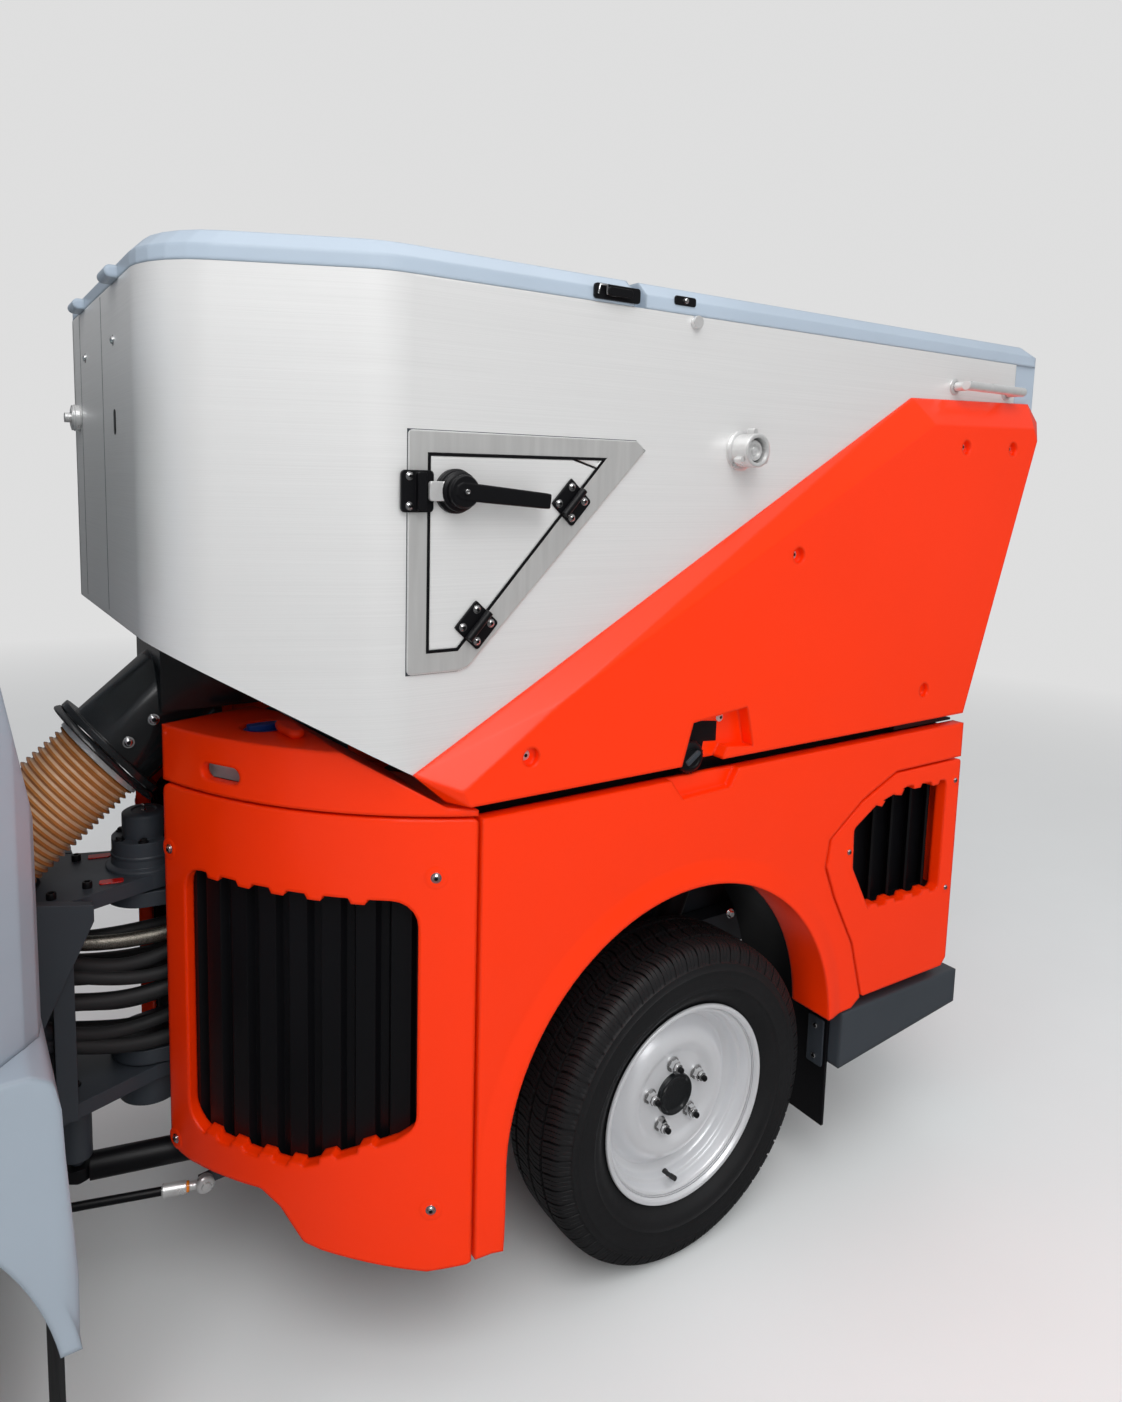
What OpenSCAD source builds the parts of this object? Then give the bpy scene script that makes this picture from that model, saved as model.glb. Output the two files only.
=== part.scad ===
// Articulated compact street sweeper: a rear module with engine, tipping hopper and one axle,
// and a front module with cab, one axle, brushes and suction mouth, joined at a vertical pivot.
// Millimetres. +X points forward, +Y to the machine's left, +Z up.
// The origin is on the ground, on the axis of the articulation pivot.

/* [Overall] */
// Length over brushes and tailgate
overall_len = 4260; // [4100:10:4500]
// Width over the orange body panels
body_w = 1210; // [1180:2:1260]
// Distance from the pivot back to the rear axle
pivot_to_rear_axle = 985; // [960:1:1010]
// Distance from the pivot forward to the front axle
pivot_to_front_axle = 705; // [690:1:730]

/* [Wheels] */
// Outer radius of a tyre
tyre_r = 357; // [345:1:362]
// Section width of a tyre
tyre_w = 205; // [190:1:210]
// Radius of the rim's flange
rim_r = 220; // [212:1:226]
// Width over the rim's flanges
rim_w = 170; // [160:1:176]
// Distance from the middle of the machine to the middle of a tyre
wheel_y = 481; // [476:1:486]
// Diameter of the wheel stud circle
stud_circle = 140; // [130:1:150]
// Number of wheel studs
stud_count = 5; // [4:1:6]

/* [Rear body] */
// Length of the rear body's sides
body_len = 1400; // [1370:5:1430]
// Distance from the rear axle back to the end of the rear body
rear_overhang = 848; // [830:2:860]
// Height of the rear body's upper edge
body_top_z = 1105; // [1095:1:1115]
// Thickness of the moulded body panels
panel_t = 30; // [20:1:34]
// Radius of the rear wheel arch
arch_r = 440; // [432:1:446]
// Radius of the curved front corners of the rear body, seen from above
corner_r = 778; // [770:1:786]
// Height of the cowls above the rear body
cowl_h = 106; // [90:1:112]
// Gap between neighbouring body panels
panel_gap = 6; // [4:1:8]

/* [Hopper] */
// Width of the steel hopper
hopper_w = 1120; // [1100:2:1130]
// Height of the hopper's upper edge
hopper_top_z = 2003; // [1990:1:2020]
// Height of the hopper's floor
hopper_floor_z = 1150; // [1145:1:1160]
// Distance from the pivot forward to the hopper's front face
hopper_front_x = 59; // [40:1:70]
// Height of the front face's lower edge
hopper_front_low_z = 1412; // [1395:1:1430]
// Thickness of the hopper's wall
hopper_wall = 12; // [8:1:16]
// Height of the lid and the tailgate above the hopper
lid_h = 50; // [44:1:60]
// Thickness of the orange hopper covers
cover_t = 48; // [40:1:52]

/* [Cab] */
// Width of the cab at its waist
cab_w = 1180; // [1150:2:1190]
// Height of the cab's roof
cab_top_z = 2010; // [1980:2:2040]
// Height of the cab floor's underside
cab_low_z = 620; // [610:1:640]
// Distance from the pivot to the cab's rear wall
cab_rear_x = 235; // [230:1:245]
// Length of the cab
cab_len = 1265; // [1240:5:1290]
// Thickness of the cab's walls
cab_wall_t = 40; // [34:1:46]
// Thickness of the window glass
glass_t = 6; // [5:1:8]
// Radius of the front fenders, outside
fender_r = 500; // [490:1:505]

/* [Sweeping gear] */
// Radius of a side brush over its bristles
brush_r = 400; // [380:2:405]
// Diameter of the suction hose
hose_d = 187; // [180:1:190]
// Clearance of the lifted brushes above the ground
brush_lift = 40; // [30:1:60]

/* [Hidden] */
$fn = 48;

// Colours
orange = [0.95, 0.22, 0.03];
light_grey = [0.62, 0.67, 0.73];
dark_grey = [0.16, 0.18, 0.2];
black = [0.05, 0.05, 0.055];
steel = [0.75, 0.75, 0.74];
silver = [0.72, 0.73, 0.74];
glass_tint = [0.5, 0.6, 0.62, 0.4];
hose_brown = [0.6, 0.42, 0.25];

// Overrun of every cut, and running clearance between parts that touch while they move
over = 5;
run_gap = 0.3;
joint_gap = 0.5;
arc_steps = 5;

// Places along the machine
rear_axle_x = -pivot_to_rear_axle;
front_axle_x = pivot_to_front_axle;
rear_end_x = -overall_len / 2;
front_end_x = overall_len / 2;
body_half = body_w / 2;
body_in = body_half - panel_t;
body_rear_x = rear_axle_x - rear_overhang;
body_front_x = body_rear_x + body_len;
hopper_half = hopper_w / 2;
cab_half = cab_w / 2;
cab_front_x = cab_rear_x + cab_len;

// Helpers: directions of extrusion, rounded outlines and inset outlines
module along_y(w) {
  translate([0, w / 2, 0]) rotate([90, 0, 0]) linear_extrude(w) children();
}
module from_y(y, w) {
  translate([0, y + w / 2, 0]) along_y(w) children();
}
module along_x(x, l) {
  translate([x, 0, 0]) rotate([90, 0, 90]) linear_extrude(l) children();
}
module both_sides() {
  children();
  mirror([0, 1, 0]) children();
}
module box(low, high) {
  translate(low) cube(high - low);
}
module rod_between(a, b, r) {
  d = b - a;
  translate(a) rotate([0, acos(d[2] / norm(d)), atan2(d[1], d[0])]) cylinder(h = norm(d), r = r);
}
module round_y(x, z, r, y, w) {
  translate([x, y, z]) rotate([-90, 0, 0]) cylinder(h = w, r = r);
}

function unit(v) = v / norm(v);
function fillet_corner(p, a, b, r) =
  r <= 0 ? [p] :
  let (u = unit(a - p), v = unit(b - p), half = acos(u * v) / 2)
  let (c = p + unit(u + v) * r / sin(half), t = r / tan(half))
  let (s = p + u * t - c, e = p + v * t - c, a0 = atan2(s[1], s[0]))
  let (turn = (atan2(e[1], e[0]) - a0 + 540) % 360 - 180)
  [for (i = [0 : arc_steps]) c + r * [cos(a0 + turn * i / arc_steps), sin(a0 + turn * i / arc_steps)]];
function rounded(pts, r) =
  let (m = len(pts))
  [for (i = [0 : m - 1])
    each fillet_corner(pts[i], pts[(i + m - 1) % m], pts[(i + 1) % m], is_list(r) ? r[i] : r)];
function inset(pts, d) =
  let (m = len(pts))
  [for (i = [0 : m - 1])
    let (e1 = unit(pts[i] - pts[(i + m - 1) % m]), e2 = unit(pts[(i + 1) % m] - pts[i]))
    let (n1 = [-e1[1], e1[0]], n2 = [-e2[1], e2[0]])
    pts[i] + d * (n1 + n2) / (1 + n1 * n2)];
function in_box(low, size, shares) = [for (s = shares) [low[0] + s[0] * size[0], low[1] + s[1] * size[1]]];

// Articulation pivot: rear lugs carry the pins, front arms turn on them
pin_r = 25;
lug_r = 75;
lug_t = 30;
lug_gap = 5;
upper_arm_z = 870;
lower_arm_z = 470;
upper_lug_z = upper_arm_z - lug_gap - lug_t;
lower_lug_z = lower_arm_z + lug_t + lug_gap;
cap_r = 62;
cap_h = 60;
cap_top_r = 42;
cap_top_h = 45;

// Rear frame
rail_in = 200;
rail_out = 250;
rail_low_z = 470;
rail_top_z = 560;
rail_front_x = -250;
bumper_t = 40;
rail_rear_x = body_rear_x - panel_gap;
yoke_front_x = -200;
yoke_half = 110;
cross_w = 60;
cross_shares = [0.04, 0.44, 0.82];
tip_hinge_dx = 28;
tip_hinge_x = body_rear_x + tip_hinge_dx;
tip_hinge_z = 1118;
tip_pin_r = 20;
tip_post_w = 65;
tip_post_lap = 40;
tip_post_in = rail_out - tip_post_lap;
tip_post_t = 30;
tip_lug_t = 34;
tip_lug_r = 38;
tip_pin_end = tip_post_in + tip_post_t + tip_lug_t + 2 * joint_gap;

// Tipping cylinders, one on each side
tip_y = 303;
tip_foot_dx = 150;
tip_foot_z = 620;
tip_eye_dx = 370;
tip_foot = [rear_axle_x - tip_foot_dx, tip_foot_z];
tip_eye = [rear_axle_x - tip_eye_dx, tip_hinge_z];
tip_barrel_r = 32;
tip_rod_r = 18;
tip_barrel_share = 0.86;
tip_shelf_t = 25;
tip_shelf_l = 110;

// Steering cylinder on the left, under the lower arm
steer_front = [150, 60];
steer_rear = [-420, 190];
steer_z = 325;
steer_barrel_r = 26;
steer_rod_r = 16;
steer_eye_r = 28;
steer_eye_t = 26;
steer_pin_r = 12;
steer_barrel_share = 0.62;
steer_rod_in_share = 0.36;
steer_neck_share = 0.8;
clevis_t = 12;
clevis_gap = 3;
clevis_half = 60;
clevis_l = 90;

module rear_frame() {
  color(dark_grey) {
    both_sides() {
      box([rail_rear_x, rail_in, rail_low_z], [rail_front_x, rail_out, rail_top_z]);
      // post and pin of the hopper's tipping hinge
      box([tip_hinge_x - joint_gap, tip_post_in, rail_top_z - over],
          [tip_hinge_x + tip_post_w, tip_post_in + tip_post_t, tip_hinge_z + tip_pin_r]);
      round_y(tip_hinge_x, tip_hinge_z, tip_pin_r, tip_post_in, tip_pin_end - tip_post_in);
      // shelf under a tipping cylinder
      box([tip_foot[0] - tip_shelf_l / 2, rail_out - over, rail_top_z - tip_shelf_t],
          [tip_foot[0] + tip_shelf_l / 2, tip_y + tip_barrel_r, rail_top_z]);
    }
    body_brackets();
    for (s = cross_shares) {
      x = rail_rear_x + s * (rail_front_x - rail_rear_x);
      box([x, -rail_in - over, rail_low_z], [x + cross_w, rail_in + over, rail_top_z]);
    }
    // yoke with its two lugs and the pivot pins
    box([rail_front_x - over, -rail_out, rail_low_z], [yoke_front_x, rail_out, rail_top_z]);
    box([rail_front_x, -yoke_half, rail_low_z], [yoke_front_x, yoke_half, upper_lug_z + lug_t]);
    for (z = [lower_lug_z, upper_lug_z]) translate([0, 0, z]) linear_extrude(lug_t) yoke_lug_outline();
    translate([0, 0, upper_lug_z]) cylinder(h = lug_t + lug_gap + lug_t + cap_h, r = pin_r);
    translate([0, 0, lower_arm_z]) cylinder(h = lower_lug_z - lower_arm_z + lug_t, r = pin_r);
    // clevis for the steering cylinder's rod
    steer_clevis();
  }
}

// Brackets that carry the body panels: rear outriggers, front posts and arms under the cowls
bracket_low_z = 1000;
bracket_top_z = 1045;
bracket_w = 40;
post_dx = 87;
post_x = body_front_x - post_dx;
cowl_arm_y = 380;
module body_brackets() {
  both_sides() {
    box([tip_hinge_x + tip_post_w - bracket_w, tip_post_in, bracket_low_z],
        [tip_hinge_x + tip_post_w, body_in, bracket_top_z]);
    box([post_x, rail_in, rail_top_z - over], [post_x + bracket_w, rail_out, body_top_z]);
    box([post_x, rail_in, bracket_low_z], [post_x + bracket_w, body_in, bracket_top_z]);
    intersection() {
      box([post_x, cowl_arm_y, bracket_low_z],
          [0, cowl_arm_y + bracket_w, body_top_z + panel_gap - joint_gap]);
      translate([corner_centre[0], corner_centre[1], 0])
        cylinder(h = 2 * body_top_z, r = corner_r - corner_t - joint_gap, $fn = 180);
    }
  }
}

module yoke_lug_outline() {
  circle(r = lug_r);
  polygon([[yoke_front_x - over, -yoke_half], [0, -lug_r], [0, lug_r], [yoke_front_x - over, yoke_half]]);
}

module steer_clevis() {
  top_z = steer_z + steer_eye_t / 2 + clevis_gap;
  low_z = steer_z - steer_eye_t / 2 - clevis_gap - clevis_t;
  x0 = steer_rear[0] - clevis_l;
  y0 = steer_rear[1] - clevis_half;
  box([x0, y0, top_z], [steer_rear[0] + clevis_half, steer_rear[1] + clevis_half, rail_low_z]);
  box([x0, y0, low_z], [steer_rear[0] + clevis_half, steer_rear[1] + clevis_half, low_z + clevis_t]);
  box([x0, y0, low_z], [x0 + clevis_t, steer_rear[1] + clevis_half, rail_low_z]);
}

// Axles: a tube, a drive housing, spring pads under the rails and a spindle in each hub
axle_tube_r = 45;
axle_tube_half = 380;
spindle_r = 30;
spindle_half = 478;
drive_r = 110;
drive_w = 160;
front_drive_r = 55;
pad_l = 120;

module axle(x, pad_in, pad_out, pad_top_z, housing_r) {
  color(black) {
    round_y(x, tyre_r, axle_tube_r, -axle_tube_half, 2 * axle_tube_half);
    round_y(x, tyre_r, spindle_r, -spindle_half, 2 * spindle_half);
    round_y(x, tyre_r, housing_r, -drive_w / 2, drive_w);
    both_sides() box([x - pad_l / 2, pad_in, tyre_r], [x + pad_l / 2, pad_out, pad_top_z]);
  }
}
module rear_axle() axle(rear_axle_x, rail_in, rail_out, rail_low_z, drive_r);

// Engine and hydraulic pump as one block on the rails
engine_len = 520;
engine_half = 185;
engine_dx = 150;
engine_rear_x = body_rear_x + engine_dx;
engine_low_z = 440;
engine_top_z = 1040;
engine_foot_t = 20;
engine_foot_l = 80;

module engine() {
  color(dark_grey) {
    box([engine_rear_x, -engine_half, engine_low_z], [engine_rear_x + engine_len, engine_half, engine_top_z]);
    for (x = [engine_rear_x, engine_rear_x + engine_len - engine_foot_l])
      box([x, -rail_out, rail_top_z], [x + engine_foot_l, rail_out, rail_top_z + engine_foot_t]);
  }
}

// Outlines on the rear body's side, as shares of its length and of its height
side_shares = [
  [0.998, 0.25], [0.998, 1], [0, 1], [0, 0.922], [0.184, 0.922], [0.27, 0.877], [0.347, 0.808],
  [0.354, 0.749], [0.33, 0.681], [0.276, 0.562], [0.243, 0.429], [0.265, 0.412],
  [0.62, 0.412], [0.957, 0.412], [0.957, 0.245]
];
vent_shares = [
  [0, 0.916], [0, 0.439], [0.013, 0.422], [0.238, 0.429], [0.271, 0.56], [0.324, 0.679], [0.3486, 0.749],
  [0.3414, 0.805], [0.266, 0.8715], [0.181, 0.916]
];
vent_window_shares = [
  [0.287, 0.817], [0.23, 0.859], [0.15, 0.882], [0.037, 0.875], [0.0386, 0.614], [0.235, 0.625], [0.284, 0.73]
];
notch_shares = [[0.56, 1.02], [0.56, 1], [0.576, 0.966], [0.669, 0.962], [0.692, 1], [0.692, 1.02]];
tab_w = 40;
tab_h = 10;
tab_slope = 8;
vent_tab_table = [ // share of length, share of height, direction of the tab's root
  [0.07, 0.877, 180], [0.122, 0.8805, 180], [0.174, 0.8755, 190], [0.224, 0.8625, 200],
  [0.075, 0.616, 3], [0.125, 0.619, 3], [0.175, 0.622, 3], [0.222, 0.6245, 3]
];
side_round = 18;
window_round = 30;
corner_window_round = 46;
vent_back_t = 4;
arch_dx = 52;
arch_z = 435;
arch_centre = [rear_axle_x + arch_dx, arch_z];
lip_w = 64;
lip_h = 10;
lip_sink = 1;
lip_steps = 8;
flange_t = 10;
flange_depth = 70;
panel_notch_depth = 18;
function on_body(shares) = in_box([body_rear_x, 0], [body_len, body_top_z], shares);

module side_outline() {
  difference() {
    polygon(on_body(side_shares));
    translate(arch_centre) circle(r = arch_r, $fn = 96);
  }
}
// section of the flare round the arch: half a wave that runs out into the panel's face
lip_pts = [for (i = [0 : lip_steps]) [
  arch_r + lip_w * i / lip_steps, over - lip_sink + lip_h * (1 + cos(180 * i / lip_steps)) / 2
]];
module arch_lip() {
  intersection() {
    translate([arch_centre[0], body_half - over, arch_centre[1]]) rotate([-90, 0, 0])
      rotate_extrude($fn = 96) polygon(concat([[arch_r + lip_w, 0], [arch_r - over, 0],
        [arch_r - over, lip_pts[0][1]]], lip_pts));
    from_y(body_in, panel_t + 2 * lip_h) side_outline();
  }
}
module arch_flange() {
  from_y(body_in - flange_depth, flange_depth + over) intersection() {
    polygon(on_body(side_shares));
    difference() {
      translate(arch_centre) circle(r = arch_r + flange_t, $fn = 96);
      translate(arch_centre) circle(r = arch_r, $fn = 96);
    }
  }
}
module side_panels() {
  color(orange) both_sides() {
    difference() {
      from_y(body_in, panel_t) side_outline();
      from_y(body_half - panel_notch_depth, panel_notch_depth + over) polygon(on_body(notch_shares));
    }
    arch_lip();
    arch_flange();
  }
}

// Rear closing panel with recesses for the lamps, and the two vent panels
rear_wall_t = 25;
rear_low_z = 455;
lamp_y = 470;
lamp_w = 120;
lamp_h = 250;
lamp_z = 740;
lamp_depth = 12;
lamp_out = 8;

// tabs that stand into a window from its edge: place and direction of each
module tabs(table) {
  for (t = table) translate(t[0]) rotate(t[1])
    polygon([
      [-tab_w / 2, -over], [tab_w / 2, -over], [tab_w / 2 - tab_slope, tab_h], [tab_slope - tab_w / 2, tab_h]
    ]);
}
module rear_panels() {
  color(orange) {
    both_sides() from_y(body_in, panel_t) difference() {
      polygon(rounded(on_body(vent_shares), side_round / 2));
      difference() {
        polygon(rounded(on_body(vent_window_shares), window_round / 2));
        tabs([for (t = vent_tab_table) [on_body([[t[0], t[1]]])[0], t[2]]]);
      }
    }
    difference() {
      box([body_rear_x, -body_in + joint_gap, rear_low_z],
          [body_rear_x + rear_wall_t, body_in - joint_gap, body_top_z - lug_t]);
      both_sides() lamp_block(-over, lamp_depth);
      box([body_rear_x - over, -tip_pin_end, rail_low_z - panel_gap],
          [body_rear_x + rear_wall_t + over, tip_pin_end, rail_top_z + panel_gap]);
    }
  }
}
module lamp_block(out, depth) {
  box([body_rear_x + out, lamp_y - lamp_w / 2, lamp_z - lamp_h / 2],
      [body_rear_x + depth, lamp_y + lamp_w / 2, lamp_z + lamp_h / 2]);
}
module tail_lamps() {
  color([0.7, 0.05, 0.04]) both_sides() lamp_block(-lamp_out, lamp_depth);
}

// Bumper: a cross bar and two side arms that taper
bumper_rear_share = -0.037;
bumper_low_share = 0.316;
bumper_top_share = 0.396;
bumper_arm_share = 0.33;
bumper_shares = [
  [0.286, 0.407], [0.288, 0.282], [bumper_rear_share, bumper_low_share], [bumper_rear_share, bumper_top_share]
];
bumper_x = body_rear_x + bumper_rear_share * body_len;
bumper_side_t = 55;
tow_half = 50;
tow_t = 22;
tow_l = 70;
tow_hole_r = 16;
tow_z = 380;
module bumper() {
  color(dark_grey) {
    both_sides() from_y(body_half - bumper_side_t, bumper_side_t) polygon(on_body(bumper_shares));
    box([bumper_x, -body_half + over, bumper_low_share * body_top_z],
        [bumper_x + bumper_t, body_half - over, bumper_top_share * body_top_z]);
    difference() {
      box([bumper_x - tow_l, -tow_half, tow_z], [bumper_x + over, tow_half, tow_z + tow_t]);
      translate([bumper_x - tow_l / 2, 0, 0]) cylinder(h = 2 * tow_z, r = tow_hole_r);
    }
    both_sides() box([bumper_x, rail_in, bumper_arm_share * body_top_z], [rail_rear_x, rail_out, rail_top_z]);
  }
}

// Wheel arch liners and mud flaps at the rear
liner_t = 6;
liner_w = 260;
liner_in = body_half - liner_w;
flap_t = 8;
flap_w = 185;
flap_in = body_in - flap_w;
rear_flap_dx = 442;
seal_rear = 40;
seal_front = 8;
seal_w = 36;
seal_drop = 30;
seal_t = 13;
seal_rise = 32;
rear_flap_x = rear_axle_x - rear_flap_dx;
rear_flap_top_share = 0.45;
rear_flap_low_z = 150;

module rear_liners() {
  color(black) both_sides() {
    from_y(liner_in, body_in - flange_depth - joint_gap - liner_in) difference() {
      translate(arch_centre) circle(r = arch_r + liner_t, $fn = 96);
      translate(arch_centre) circle(r = arch_r, $fn = 96);
      translate([arch_centre[0] - body_len, -body_top_z]) square([2 * body_len, body_top_z + arch_centre[1]]);
    }
    box([rear_flap_x, flap_in, rear_flap_low_z],
        [rear_flap_x + flap_t, body_in, rear_flap_top_share * body_top_z]);
    // seal under the hopper's edge
    box([body_rear_x + seal_rear, body_in - seal_w, body_top_z - seal_drop],
        [body_front_x - seal_front, body_in, body_top_z - panel_gap]);
    box([body_rear_x + seal_rear, body_in - seal_w, body_top_z - seal_drop],
        [body_front_x - seal_front, body_in - seal_w + seal_t, body_top_z + seal_rise]);
  }
}

// Curved corner panels with their grilles, and the cowls above them
corner_dx = 314;
corner_dy = 110;
corner_centre = [body_front_x - corner_dx, -corner_dy];
corner_far_a = 18.7;
corner_near_a = 66.4;
corner_mid_a = (corner_far_a + corner_near_a) / 2;
corner_half_a = (corner_near_a - corner_far_a) / 2;
corner_half = corner_r * sin(corner_half_a);
corner_t = 26;
corner_shares = [
  [-1, 1], [-1, 0.355], [-0.94, 0.33], [-0.81, 0.327], [-0.26, 0.338], [-0.127, 0.316], [0.024, 0.263],
  [0.14, 0.255], [0.742, 0.233], [0.98, 0.243], [1, 0.26], [1, 1]
];
corner_window_shares = [
  [-0.814, 0.868], [-0.814, 0.418], [-0.70, 0.392], [-0.015, 0.392], [0.559, 0.462], [0.68, 0.487],
  [0.68, 0.868]
];
corner_tab_table = [ // share across, share of height, direction of the tab's root
  [-0.58, 0.868, 180], [-0.355, 0.868, 180], [-0.13, 0.868, 180], [0.095, 0.868, 180], [0.35, 0.868, 180],
  [-0.63, 0.392, 0], [-0.43, 0.392, 0], [-0.225, 0.392, 0], [-0.03, 0.392, 0], [0.17, 0.4145, 23],
  [0.4, 0.4425, 23]
];
function on_corner(shares) = in_box([0, 0], [corner_half, body_top_z], shares);

module corner_frame() {
  translate([corner_centre[0], corner_centre[1], 0]) rotate([0, 0, corner_mid_a]) children();
}
module corner_trim() {
  box([body_rear_x, -body_w, 0], [body_front_x + panel_gap / 2, body_w, 2 * body_top_z]);
}
module corner_ring(r, t, z0, z1) {
  translate([0, 0, z0]) rotate([0, 0, -corner_half_a])
    rotate_extrude(angle = 2 * corner_half_a, $fn = 180) translate([r - t, 0]) square([t, z1 - z0]);
}
module corner_panels() {
  color(orange) both_sides() difference() {
    corner_frame() intersection() {
      corner_ring(corner_r, corner_t, 0, body_top_z);
      along_x(0, 2 * corner_r) difference() {
        polygon(rounded(on_corner(corner_shares), side_round));
        difference() {
          polygon(rounded(on_corner(corner_window_shares), corner_window_round));
          tabs([for (t = corner_tab_table) [on_corner([[t[0], t[1]]])[0], t[2]]]);
        }
      }
    }
    corner_trim();
  }
}

cowl_depth = 200;
cowl_wall = 20;
cowl_slope_shares = [[-0.1, 0], [1.3, 0], [1.3, 1], [0.48, 1], [0.12, 0.14], [0, 0.1], [-0.1, 0.06]];
cowl_low_z = body_top_z + panel_gap;
cowl_len = 420;
slot_len = 92;
slot_h = 32;
slot_a = 30.5;
slot_dz = 40;
slot_z = cowl_low_z + slot_dz;
filler_dx = 261;
filler_y = 240;
filler_pt = [body_front_x + filler_dx, filler_y];
filler_r = 44;
filler_depth = 12;

module cowl_top_outline(drop) {
  polygon(in_box([body_front_x, cowl_low_z - drop], [cowl_len, cowl_h], cowl_slope_shares));
}
module cowls() {
  color(orange) both_sides() difference() {
    intersection() {
      corner_frame() corner_ring(corner_r, cowl_depth, cowl_low_z, cowl_low_z + cowl_h);
      along_y(2 * body_w) cowl_top_outline(0);
    }
    intersection() {
      corner_frame()
        corner_ring(corner_r - cowl_wall, cowl_depth - 2 * cowl_wall, cowl_low_z - over, cowl_low_z + cowl_h);
      along_y(2 * body_w) cowl_top_outline(cowl_wall);
    }
    corner_trim();
    translate([filler_pt[0], filler_pt[1], cowl_low_z + cowl_h - filler_depth])
      cylinder(h = filler_depth + over, r = filler_r);
    translate([corner_centre[0], corner_centre[1], slot_z]) rotate([0, 0, slot_a])
      along_x(corner_r - cowl_wall - over, cowl_wall + 2 * over) hull() {
        translate([-slot_len / 2 + slot_h / 2, 0]) circle(d = slot_h);
        translate([slot_len / 2 - slot_h / 2, 0]) circle(d = slot_h);
      }
  }
}

// Black grilles: a corrugated screen behind each corner window, upright blades behind each vent
blade_t = 6;
blade_depth = 34;
blade_len = 30;
screen_pitches = 9;
screen_span_share = 0.92;
screen_depth = 16;
screen_t = 5;
screen_wave_shares = [[0, 0], [0.56, 0], [0.66, 1], [0.9, 1]]; // share of a pitch, share of the depth
vent_blades = 6;
vent_blade_lean = 40;
bar_h = 26;
grille_low_share = 0.37;
grille_top_share = 0.9;
vent_low_share = 0.59;
vent_rear_share = 0.02;
vent_front_share = 0.32;
grille_low_z = grille_low_share * body_top_z;
grille_top_z = grille_top_share * body_top_z;
vent_low_z = vent_low_share * body_top_z;
vent_x0 = body_rear_x + vent_rear_share * body_len;
vent_x1 = body_rear_x + vent_front_share * body_len;
screen_r = corner_r - corner_t - joint_gap;
screen_half_a = corner_half_a * screen_span_share;

function on_screen(i, s, back) =
  let (a = screen_half_a * (2 * (i + s[0]) / screen_pitches - 1), r = screen_r - s[1] * screen_depth - back)
  [r * cos(a), r * sin(a)];
function screen_line(back) = [for (i = [0 : screen_pitches - 1]) each
  [for (s = screen_wave_shares) on_screen(i, s, back)]];
module blade(h) {
  translate([-blade_len / 2, -blade_t / 2, 0]) cube([blade_len, blade_t, h]);
}
module corner_screen() {
  front = screen_line(0);
  back = screen_line(screen_t);
  translate([0, 0, grille_low_z]) linear_extrude(grille_top_z - grille_low_z)
    polygon(concat(front, [for (i = [len(back) - 1 : -1 : 0]) back[i]]));
}
module grilles() {
  color(black) both_sides() {
    corner_frame() corner_screen();
    for (z = [vent_low_z, grille_top_z - bar_h])
      box([vent_x0, body_in - blade_depth - joint_gap, z], [vent_x1, body_in - joint_gap, z + bar_h]);
    box([vent_x0, body_in - blade_depth - joint_gap, vent_low_z],
        [vent_x1, body_in - blade_depth - joint_gap + vent_back_t, grille_top_z]);
    for (i = [0 : vent_blades - 1]) {
      x = vent_x0 + (2 * i + 1) / (2 * vent_blades) * (vent_x1 - vent_x0);
      translate([x, body_in - joint_gap - blade_depth / 2, vent_low_z + over])
        rotate([0, 0, 90 - vent_blade_lean]) blade(grille_top_z - vent_low_z - 2 * over);
    }
  }
}

// Suction hose between the front duct and the hopper's inlet, with its collar
hose_r = hose_d / 2;
hose_top = [62, 0, 1143];
hose_low = [318, 0, 926];
hose_dir = unit(hose_low - hose_top);
collar_lip = 30;
collar_r = hose_r + collar_lip;
collar_t = 12;
inlet_len = 190;
boot_rear = 300;
boot_front = 74;
boot_half = 112;
boot_low = 127;
inlet_fit = 4;
inlet_r = hose_r + inlet_fit;
inlet_wall = 6;

module suction_hose() {
  color(hose_brown) difference() {
    union() {
      rod_between(hose_top, hose_low, hose_r);
      rod_between(hose_top, hose_top + collar_t * hose_dir, collar_r);
    }
    rod_between(hose_top - over * hose_dir, hose_low + over * hose_dir, hose_r - inlet_wall);
  }
}
module inlet_pipe() {
  end = hose_top - joint_gap * hose_dir;
  color(black) difference() {
    union() {
      rod_between(end - inlet_len * hose_dir, end, inlet_r);
      rod_between(end - collar_t * hose_dir, end, collar_r);
      box([hopper_front_x - boot_rear, -boot_half, body_top_z + boot_low],
          [hopper_front_x - boot_front, boot_half, hopper_front_low_z]);
    }
    rod_between(end - 2 * inlet_len * hose_dir, end + over * hose_dir, inlet_r - inlet_wall);
    hopper_solid(0);
  }
}

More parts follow.
